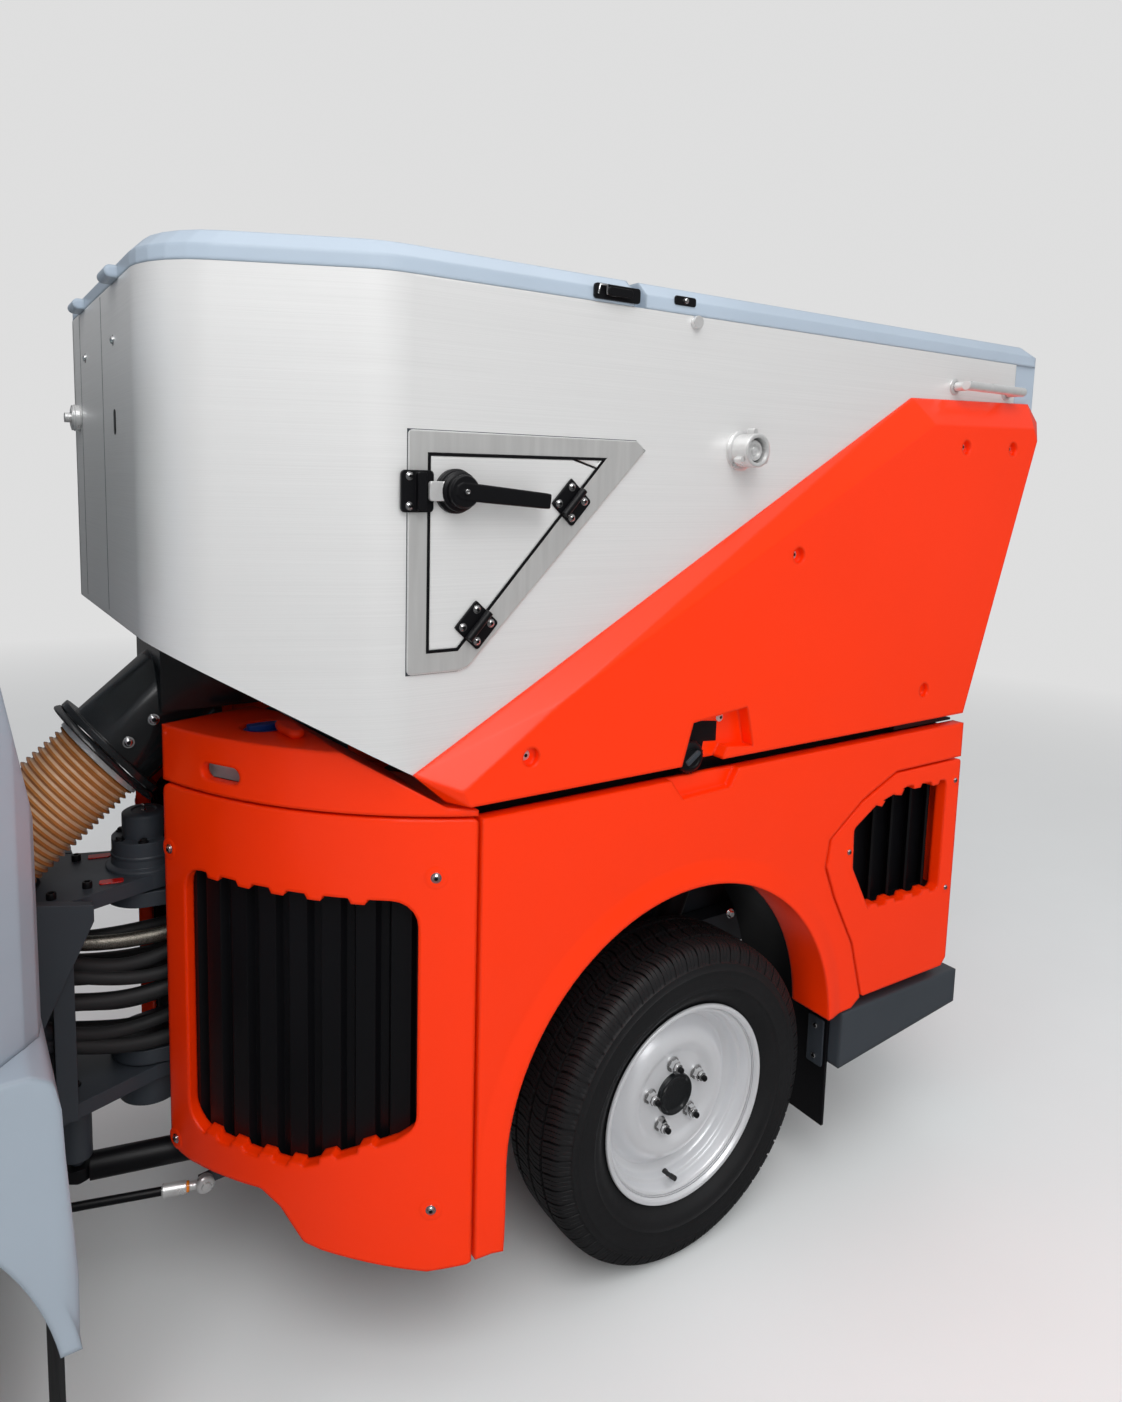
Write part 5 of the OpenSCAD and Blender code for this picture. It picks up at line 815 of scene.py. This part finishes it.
def hydraulic_lines():
    """Slack rubber hoses with crimped ends; one of them in braided steel."""
    parts = []
    for n, (y, z, sag) in enumerate(LINES):
        points = []
        for i in range(41):
            t = i / 40
            wave = math.sin(math.pi * t)
            points.append(Vector((LINE_X[0] + (LINE_X[1] - LINE_X[0]) * t,
                (y + wave * (14 - 9 * (n % 4)) + 5 * math.sin(6 * t + n)) * MM,
                                  (z - sag * wave + 6 * wave * math.sin(5 * t + 2 * n)) * MM)))
        look = BRAID if n == 12 else RUBBER
        parts.append(tube_along("line", points, 0.0128 if n < 7 else 0.0142, look, 18))
        for end in (points[:6], points[-1:-7:-1]):
            parts.append(tube_along("crimp", end[:5], 0.0152, DARK, 16))
            parts.append(tube_along("nut", end[:2], 0.0185, DARK, 6))
    piece = join("hydraulic_lines", parts)
    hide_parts("hydraulic_hoses")
    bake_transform(piece)


def pivot_dress():
    """Bolts round the pivot caps, cap screws, red reflector pads and a grease nipple."""
    rows = [("hex", 7, (52 * math.cos(t), 52 * math.sin(t), 960),
        (0, 0, 1)) for t in (math.pi / 3 * k + 0.3 for k in range(6))]
    rows += [("cap", 9, (118, y, 900), (0, 0, 1)) for y in (-74, 74)] + [("cap", 9, (182, y, 900),
        (0, 0, 1)) for y in (-95, 95)]
    rows += [("hex", 8, (150, y, 500), (0, 0, 1)) for y in (-60, 60)]
    fit("pivot_bolts", "front", bolts(rows, BLACK))
    nipple = turned("nipple", ((5, 0), (5, 5), (3, 6), (3, 12), (4.2, 13), (4.2, 16), (0, 18)), CHROME, 16)
    cover = turned("cover", ((41.5, 0), (41.5, 2), (37, 5), (24, 6), (22, 4), (6, 4)), DARK, 48)
    fit("pivot_nipple", "front", placed([cover, nipple], facing((0, 0, 1004.6), (0, 0, 1))))
    pads = []
    for y in (-82, 82):
        pads += placed([tile("pad", (44, 20, 6), 0, 2.5, RED, 1)], facing((75, y * 0.86, 900), (0, 0, 1), (0.2, 1, 0)))
    fit("pivot_pads", "front", pads)
    steps = turned("steps", ((74, 0), (74, 5), (70, 8), (63.5, 10), (62.4, 24), (63.8, 26), (63.8, 30), (62.2, 32)),
        DARK, 64)
    fit("pivot_skirt", "front", placed([steps], facing((0, 0, 900), (0, 0, 1))))
    rear_end, front_end = Vector((-70, 150, 264)), Vector((170, 92, 272))
    along = (front_end - rear_end).normalized()
    rod = [tube_along("rod", [(rear_end + (front_end - rear_end) * (0.28 + 0.72 * k / 24)) * MM for k in range(25)],
        0.0085, BLACK, 16),
           tube_along("sleeve", [(rear_end + along * d) * MM for d in (34, 36, 50, 66, 80, 82)],
                      lambda share: 0.0085 if share in (0.0, 1.0) else 0.0125, BRIGHT, 20),
           tube_along("band", [(rear_end + along * d) * MM for d in (30, 30.4, 35, 35.4)], 0.0105, AMBER, 20),
           tube_along("neck", [(rear_end + along * d) * MM for d in (10, 12, 20, 34)], 0.0085, BRIGHT, 16)]
    ball = turned("ball", ((0, -9), (15, -9), (18, -6), (18, 6), (15, 9), (9, 10), (9, 14), (6, 15), (0, 15)), BRIGHT,
        32)
    stay = extruded("stay", [(-16, -12), (10, -12), (10, 12), (-150, 30), (-150, -6)], -16, -10, DARK, 1.5)
    rod += placed([ball, stay], facing(rear_end, (0, 1, 0)) @ Matrix.Scale(-1, 4, (1, 0, 0)))
    piece = join("angle_rod", rod)
    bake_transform(piece)
    eye = turned("eye", ((29, -14), (30, -12), (30, 12), (29, 14), (20, 15), (18, 17), (0, 17)), CHROME, 40)
    collar = turned("collar", ((20, 0), (22, 2), (22, 20), (20, 22)), BRIGHT, 32)
    away = Vector((150 + 420, 60 - 190, 0)).normalized()
    fit("steer_eye", "steer_ram",
        placed([eye], facing((-420, 190, 325), (0, 0, 1))) + placed([collar],
        facing(Vector((-420, 190, 325)) + away * 26, away)))


# ---------------------------------------------------------------- cab
def outer_loops(node, direction, spread=0.6):
    """Closed loops of points round the faces of a node that look in a direction."""
    mesh = bmesh.new()
    mesh.from_mesh(NODES[node].data)
    mesh.transform(NODES[node].matrix_world)
    aim = Vector(direction)
    bmesh.ops.remove_doubles(mesh, verts=mesh.verts[:], dist=1e-5)
    mesh.normal_update()
    chosen = {f for f in mesh.faces if f.normal.dot(aim) > spread}
    rim = [e for e in mesh.edges if sum(f in chosen for f in e.link_faces) == 1]
    near = {}
    for edge in rim:
        for v in edge.verts:
            near.setdefault(v.index, []).append(edge)
    left, loops = dict.fromkeys(rim), []  # keeps its order, so that each run walks the loops alike
    while left:
        edge = next(iter(left))
        del left[edge]
        start, at = edge.verts
        loop = [start.co.copy(), at.co.copy()]
        while True:
            step = next((e for e in near[at.index] if e in left), None)
            if step is None:
                break
            del left[step]
            at = step.other_vert(at)
            loop.append(at.co.copy())
        loops.append(loop)
    mesh.free()
    return [l for l in loops if len(l) > 6]


def even(points, gap):
    """Points set evenly along a line of points."""
    out, carry = [points[0]], 0.0
    for a, b in zip(points, points[1:]):
        length = (b - a).length
        while carry + length >= gap:
            share = (gap - carry) / length
            a = a.lerp(b, share)
            out.append(a)
            length, carry = (b - a).length, 0.0
        carry += length
    return out


def window_seals():
    for node, aim, body, name in (("cab_glass", (1, 0, 0.3), "front", "seal_front"),
        ("cab_glass", (-1, 0, 0.2), "front", "seal_rear"),
                                  ("door_glass_left", (0, 1, 0.1), "cab_door_left", "seal_door_left"),
                                  ("door_glass_right", (0, -1, 0.1), "cab_door_right", "seal_door_right")):
        loops = [l for l in outer_loops(node, Vector(aim).normalized(), 0.75) if sum((b - a).length for a,
            b in zip(l, l[1:])) > 1.0]
        if node == "cab_glass":
            wanted = max if aim[0] > 0 else min
            loops = [wanted(loops, key=lambda l: sum(p.x for p in l) / len(l))]
        parts = []
        for loop in loops:
            points = even(loop, 0.02)
            parts.append(tube_along("seal", points + points[:2], 0.0075, RUBBER, 8, ends=False))
        fit(name, body, parts)


def seat():
    """Seat with a crowned cushion, side bolsters and stitched channels, over the plain block."""
    def pad(name, length, width, height, channels, crown):
        rows, columns, verts = 33, 25, []
        for side in (1, -1):
            for i in range(rows):
                for j in range(columns):
                    u, v = i / (rows - 1) * 2 - 1, j / (columns - 1) * 2 - 1
                    fall = (1 - abs(u) ** 6) ** 0.5 * (1 - abs(v) ** 6) ** 0.5
                    bolster = 0.012 * math.exp(-((abs(v) - 0.78) / 0.16) ** 2)
                    stitch = -0.006 * math.exp(-((abs(v) - 0.55) / 0.035) ** 2)
                    for c in channels:
                        stitch -= 0.005 * math.exp(-((u - c) / 0.03) ** 2) * (abs(v) < 0.55)
                    rise = (height / 2 + crown * (1 - u * u) * (1 - v * v) + bolster + stitch) * fall
                    verts.append((u * length / 2, v * width / 2, rise if side > 0 else -height / 2 * fall))
        top = grid_faces(rows, columns)
        count = rows * columns
        faces = top + [tuple(count + k for k in reversed(f)) for f in top]
        obj = mesh_object(name, verts, faces, FABRIC)
        mesh = bmesh.new()
        mesh.from_mesh(obj.data)
        bmesh.ops.remove_doubles(mesh, verts=mesh.verts[:], dist=1e-5)
        bmesh.ops.recalc_face_normals(mesh, faces=mesh.faces[:])
        mesh.to_mesh(obj.data)
        mesh.free()
        return obj

    cushion = pad("cushion", 0.49, 0.50, 0.135, (-0.5, 0.0, 0.5), 0.012)
    cushion.matrix_basis = Matrix.Translation((0.745, 0, 0.955)) @ Matrix.Rotation(math.radians(-2), 4, "Y")
    back = pad("back", 0.60, 0.50, 0.15, (-0.45, 0.05, 0.5), 0.012)
    back.matrix_basis = Matrix.Translation((0.551, 0, 1.29)) @ Matrix.Rotation(math.radians(83.5), 4, "Y")
    for piece, name in ((cushion, "seat_cushion"), (back, "seat_back")):
        piece.name = name
        piece.matrix_world = piece.matrix_basis.copy()
        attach(piece, "front")


def cab_dress():
    for side, word in SIDES:
        handle = [tile("plate", (150, 44, 10), 0, 4, BLACK, 1.5),
                  tile("grip", (128, 20, 8), 12, 22, BLACK, 4, 3),
                  tile("foot", (20, 18, 6), 2, 14, BLACK, 2), tile("foot", (20, 18, 6), 2, 14, BLACK, 2)]
        handle[2].matrix_basis = Matrix.Translation((0.052, 0, 0))
        handle[3].matrix_basis = Matrix.Translation((-0.052, 0, 0))
        fit("door_handle_" + word, "cab_door_" + word, placed(handle, outward(1165, 590, 1040, side)))
        glass = tile("glass", (146, 236, 22), 0, 2.5, MIRROR, 0.8)
        edge = tile("edge", (162, 254, 26), -6, 1, BLACK, 2.5, 3)
        shell = tile("shell", (172, 268, 34), 62, 84, BLACK, 12, 4)
        shell.matrix_basis = Matrix.Translation((0, 0, -0.144))
        fit("mirror_face_" + word, "front",
            placed([edge, glass, shell], facing((1530, side * 740, 1332), (-1, 0, 0))))
        ring = turned("ring", ((61, -4), (66, -2), (68, 4), (66, 8), (60, 9), (57, 4)), BLACK, 64)
        lens = turned("lens", ((57, 3), (50, 7), (36, 10.5), (18, 12.5), (0, 13)), CLEAR, 64)
        bulb = turned("bulb", ((26, 9), (26, 13.4), (20, 15), (0, 15.6)), CHROME, 40)
        fit("headlamp_lens_" + word, "front",
            placed([ring, lens, bulb], facing((1499.5, side * 400, 830), (1, 0, 0))))
        amber = [tile("housing", (112, 44, 12), -4, 5, BLACK, 2), tile("lens", (98, 32, 9), 4, 11, AMBER, 3, 3)]
        fit("indicator_" + word, "front", placed(amber, facing((1499, side * 400, 725), (1, 0, 0))))
    rows = [("button", 8, (1500, y, z), (1, 0, 0)) for y in (-250, 250) for z in (660, 985)]
    fit("mask_bolts", "front", bolts(rows))
    bars = []
    for k in range(5):
        bars += placed([tile("bar", (420 - 26 * k, 16, 6), 0, 7, BLACK, 2.5, 3)],
            facing((1499, 0, 930 - 30 * k), (1, 0, 0)))
    fit("mask_grille", "front", bars)


def wipers():
    """One wiper that lies on the windscreen."""
    loops = outer_loops("cab_glass", Vector((1, 0, 0.3)).normalized(), 0.75)
    screen = max(loops, key=lambda l: sum(p.x for p in l))
    top = max(screen, key=lambda p: p.z)
    foot = min(screen, key=lambda p: p.z)
    lean = (top.x - foot.x) / (top.z - foot.z)

    def on_screen(y, z, out):
        return Vector((foot.x + (z - foot.z) * lean + out, y, z))

    arm = tube_along("arm", [on_screen(-0.05, foot.z + 0.02, 0.022), on_screen(-0.03, foot.z + 0.20, 0.026),
        on_screen(0.02, foot.z + 0.42, 0.020)], 0.006, BLACK, 10)
    blade = tube_along("blade", [on_screen(0.02 + 0.07 * (t - 0.5), foot.z + 0.16 + 0.52 * t,
        0.009) for t in [i / 12 for i in range(13)]], 0.005, RUBBER, 8)
    hub = turned("hub", ((20, 0), (20, 10), (15, 17), (0, 18)), BLACK, 32)
    hub_place = facing(on_screen(-0.05, foot.z + 0.02, 0.006) * 1000, (1, 0, lean))
    fit("wiper", "front", [arm, blade] + placed([hub], hub_place))


def driver_place():
    """Seat shell, dashboard, column and steering wheel in place of the plain block."""
    wheel_at, foot = Vector((1069.9, 0, 1330)), Vector((1297.6, 0, 662))
    axis = (wheel_at - foot).normalized()
    parts = []
    for name, outline, half, soft, look in (
        ("base", ((522, 901), (974, 901), (978, 950), (640, 960), (522, 960)), 236, 12, BLACK),
        ("shell", ((508, 940), (560, 940), (530, 1500), (524, 1568), (486, 1566), (488, 1500)), 225, 12, BLACK),
        ("dash", ((1324, 852), (1458, 852), (1458, 978), (1400, 978), (1362, 979), (1326, 941)), 318, 14, DARK),
        ("hood", ((1340, 965), (1452, 975), (1452, 1000), (1400, 1004), (1352, 992)), 150, 8, BLACK)):
        part = extruded(name, outline, -half, half, look, soft, 3)
        part.matrix_basis = Matrix.Rotation(math.pi / 2, 4, "X")
        parts.append(part)
    ring = [Vector((180 * math.cos(t), 180 * math.sin(t), 0)) * MM for t in (2 * math.pi * k / 72 for k in range(74))]
    wheel = [tube_along("grip", ring, 0.015, RUBBER, 14, ends=False),
             turned("pad", ((62, -14), (62, 8), (56, 14), (40, 17), (0, 18)), BLACK, 48)]
    for k in range(3):
        spoke = extruded("spoke", [(40, -16), (172, -11), (172, 11), (40, 16)], -7, 6, DARK, 3, 3)
        spoke.matrix_basis = Matrix.Rotation(math.radians(90 + 120 * k), 4, "Z")
        wheel.append(spoke)
    parts += placed(wheel, facing(wheel_at, axis))
    parts.append(tube_along("column", [(foot + axis * d) * MM for d in (0, 120, 121, 420, 421, 690)],
                            lambda share: 0.046 if share < 0.3 else (0.036 if share < 0.7 else 0.028), BLACK, 32))
    screen = tile("screen", (190, 70, 10), 0, 5, GLOSS, 1.5)
    parts += placed([screen], facing((1345, 0, 983), (-1, 0, 0.55)))
    for k in range(6):
        parts += placed([tile("switch", (24, 15, 4), 0, 7, BLACK, 2)],
            facing((1340, -290 + 30 * k if k < 3 else 200 + 30 * (k - 3), 960), (-1, 0, 1)))
    piece = join("driver_place", parts)
    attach(piece, "front")
    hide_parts("cab_interior")


# ---------------------------------------------------------------- brushes and mouth
def brushes():
    """Wire tufts in four rows that fan out from the brush plate."""
    for side, word in SIDES:
        parts = []
        plate = ((0, 290), (22, 290), (22, 288), (60, 286), (150, 284), (166, 280), (170, 272), (170, 254), (160, 250),
            (0, 250))
        parts.append(turned("plate", plate, DARK, 72))
        verts, faces = [], []
        for row, (root, tip, low, count) in enumerate(((148, 400, 40, 76), (136, 372, 41, 70), (122, 344, 43, 64),
                (108, 316, 46, 56))):
            for k in range(count):
                turn = 2 * math.pi * (k + 0.5 * (row % 2)) / count
                for wire in range(5):
                    jitter = math.sin(12.9898 * (k * 5 + wire) + 78.233 * row) * 43758.5453 % 1.0
                    spread = (wire - 2) * 0.016 + (jitter - 0.5) * 0.01
                    start, rings = len(verts), 5
                    for i in range(rings):
                        t = i / (rings - 1)
                        r = root + (tip - 8 * jitter - root) * (0.75 * t + 0.25 * t * t)
                        z = 252 + (low + 5 * jitter - 252) * (0.8 * t + 0.2 * t ** 3)
                        a = turn + spread * t * 1.6 + 0.05 * t * t
                        half = 2.6 - 1.2 * t
                        for dr, da in ((-half, -half), (half, -half), (half, half), (-half, half)):
                            rr = r + dr
                            verts.append((rr * math.cos(a + da / r) * MM, rr * math.sin(a + da / r) * MM, z * MM))
                    for i in range(rings - 1):
                        for j in range(4):
                            p, q = start + 4 * i + j, start + 4 * i + (j + 1) % 4
                            faces.append((p, q, q + 4, p + 4))
                    faces.append((start + 16, start + 17, start + 18, start + 19))
        parts.append(mesh_object("tufts", verts, faces, BRISTLE, False))
        for k in range(6):
            t = math.pi / 3 * k
            parts += placed(bolt("hex", 8, CHROME),
                Matrix.Translation((0.115 * math.cos(t), 0.115 * math.sin(t), 0.2845)))
        piece = join("brush_tufts_" + word, parts)
        piece.matrix_world = Matrix.Translation((1.73, side * 0.43, 0))
        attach(piece, "sweep_brush_" + word)
        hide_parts("brush_" + word)
        motor = [turned("motor", ((46, 435), (46, 452), (42, 456), (0, 457)), BLACK, 40),
                 turned("band", ((60.4, 330), (61.6, 332), (61.6, 372), (60.4, 374)), BRIGHT, 48)]
        fit("brush_motor_" + word, "sweep_arm_" + word,
            placed(motor, Matrix.Translation((1.73, side * 0.43, 0))))


def mouth_dress():
    """Rubber lip round the suction mouth and the clamp of its neck."""
    lips = []
    for side in (1, -1):
        lips += placed([tile("lip", (190, 40, 8), 0, 8, RUBBER, 2)], outward(1185, 300, 40, side))
    lips += placed([tile("lip", (560, 40, 8), 0, 8, RUBBER, 2)], facing((1085, 0, 40), (-1, 0, 0)))
    fit("mouth_lips", "front", lips)
    clamp = placed([turned("clamp", ((95.4, 0), (97.4, 1), (97.4, 16), (95.4, 17)), CHROME, 64)],
        Matrix.Translation((1.175, 0, 0.186)))
    fit("duct_clamp", "front", clamp)


# ---------------------------------------------------------------- camera, floor and light
def camera():
    """The photograph's own viewpoint, solved from the wheel and the body edges."""
    yaw, pitch, roll = 1.0024, 0.1176, 0.0216
    ahead = Vector((-math.cos(yaw) * math.cos(pitch), -math.sin(yaw) * math.cos(pitch), -math.sin(pitch)))
    right = ahead.cross(Vector((0, 0, 1))).normalized()
    up = right.cross(ahead)
    side = math.cos(roll) * right + math.sin(roll) * up
    top = -math.sin(roll) * right + math.cos(roll) * up
    data = bpy.data.cameras.new("view")
    cam = linked("view", data)
    rows = Matrix((side, top, -ahead)).transposed().to_4x4()
    cam.matrix_world = Matrix.Translation((0.35559, 1.93671, 1.68102)) @ rows
    tall = 1402.0
    data.sensor_width = 36.0
    data.lens = 937.4 * 36.0 / tall
    data.shift_x = 44.02 / tall
    data.shift_y = -108.43 / tall
    data.clip_start, data.clip_end = 0.05, 100
    SCENE.camera = cam


BACKDROP = (0.735, 0.735, 0.735, 1)


def studio():
    """Pale floor that runs out into the background, a sky that is bright above, and large soft lamps."""
    SCENE.view_settings.view_transform = "Standard"
    look = moulded("floor_grey", (0.84, 0.862, 0.864), 0.85, grain=40, depth=0.0002, vary=0.01, edge=0,
        Specular_IOR_Level=0.1)
    nodes, link = links(look)
    glow = nodes.new("ShaderNodeEmission")
    glow.inputs["Color"].default_value = BACKDROP
    place = nodes.new("ShaderNodeTexCoord")
    scale = nodes.new("ShaderNodeMapping")
    scale.inputs["Scale"].default_value = (0.1, 0.1, 0.1)
    away = nodes.new("ShaderNodeTexGradient")
    away.gradient_type = "SPHERICAL"
    far = nodes.new("ShaderNodeMixShader")
    link.new(place.outputs["Object"], scale.inputs["Vector"])
    link.new(scale.outputs["Vector"], away.inputs["Vector"])
    link.new(ramp(look, away, 1.0, 0.0, (0.15, 0.68)).outputs["Color"], far.inputs["Fac"])
    link.new(nodes["Principled BSDF"].outputs["BSDF"], far.inputs[1])
    link.new(glow.outputs["Emission"], far.inputs[2])
    link.new(far.outputs["Shader"], nodes["Material Output"].inputs["Surface"])
    floor = mesh_object("floor", [(-30, -30, 0), (30, -30, 0), (30, 30, 0), (-30, 30, 0)], [(0, 1, 2, 3)], look, False)
    floor.visible_glossy = False
    world = bpy.data.worlds.new("studio")
    SCENE.world = world
    world.use_nodes = True
    nodes, link = world.node_tree.nodes, world.node_tree.links
    light = nodes["Background"]
    light.inputs["Strength"].default_value = 1.0
    aim = nodes.new("ShaderNodeTexCoord")
    split = nodes.new("ShaderNodeSeparateXYZ")
    sky = nodes.new("ShaderNodeValToRGB")
    for element, at, level in zip(sky.color_ramp.elements, (0.0, 0.9), (0.12, 0.50)):
        element.position = at
        element.color = (level, level, level * 1.02, 1)
    link.new(aim.outputs["Generated"], split.inputs["Vector"])
    link.new(split.outputs["Z"], sky.inputs["Fac"])
    link.new(sky.outputs["Color"], light.inputs["Color"])
    back = nodes.new("ShaderNodeBackground")
    back.inputs["Color"].default_value = BACKDROP
    back.inputs["Strength"].default_value = 1.0
    path = nodes.new("ShaderNodeLightPath")
    mix = nodes.new("ShaderNodeMixShader")
    link.new(path.outputs["Is Camera Ray"], mix.inputs["Fac"])
    link.new(light.outputs["Background"], mix.inputs[1])
    link.new(back.outputs["Background"], mix.inputs[2])
    link.new(mix.outputs["Shader"], nodes["World Output"].inputs["Surface"])
    for name, place, aim, size, power, mirrored_in_gloss in (
        ("key", (1.0, 3.8, 5.6), (-0.7, 0.3, 0.6), 3.6, 170, True),
        ("top", (-1.2, 0.2, 5.6), (-0.9, 0.0, 1.0), 4.0, 50, True),
        ("side", (0.2, 5.4, 2.9), (-0.8, 0.3, 1.1), 3.0, 60, False),
        ("fill", (-5.0, 3.4, 2.4), (-1.0, 0.3, 1.0), 3.0, 25, False),
        ("front", (4.5, 0.8, 3.6), (0.2, 0, 1.2), 3.0, 55, False),
    ):
        data = bpy.data.lights.new(name, "AREA")
        data.energy, data.size = power, size
        lamp = linked(name, data)
        lamp.visible_glossy = mirrored_in_gloss
        lamp.location = place
        lamp.rotation_euler = (Vector(aim) - Vector(place)).to_track_quat("-Z", "Y").to_euler()


wheels()
suction_hose()
hopper_dress()
inlet_dress()
lid_dress()
hatch_dress()
hatch_frame()
rear_dress()
tail_dress()
hydraulic_lines()
pivot_dress()
window_seals()
seat()
driver_place()
cab_dress()
wipers()
brushes()
mouth_dress()
camera()
studio()
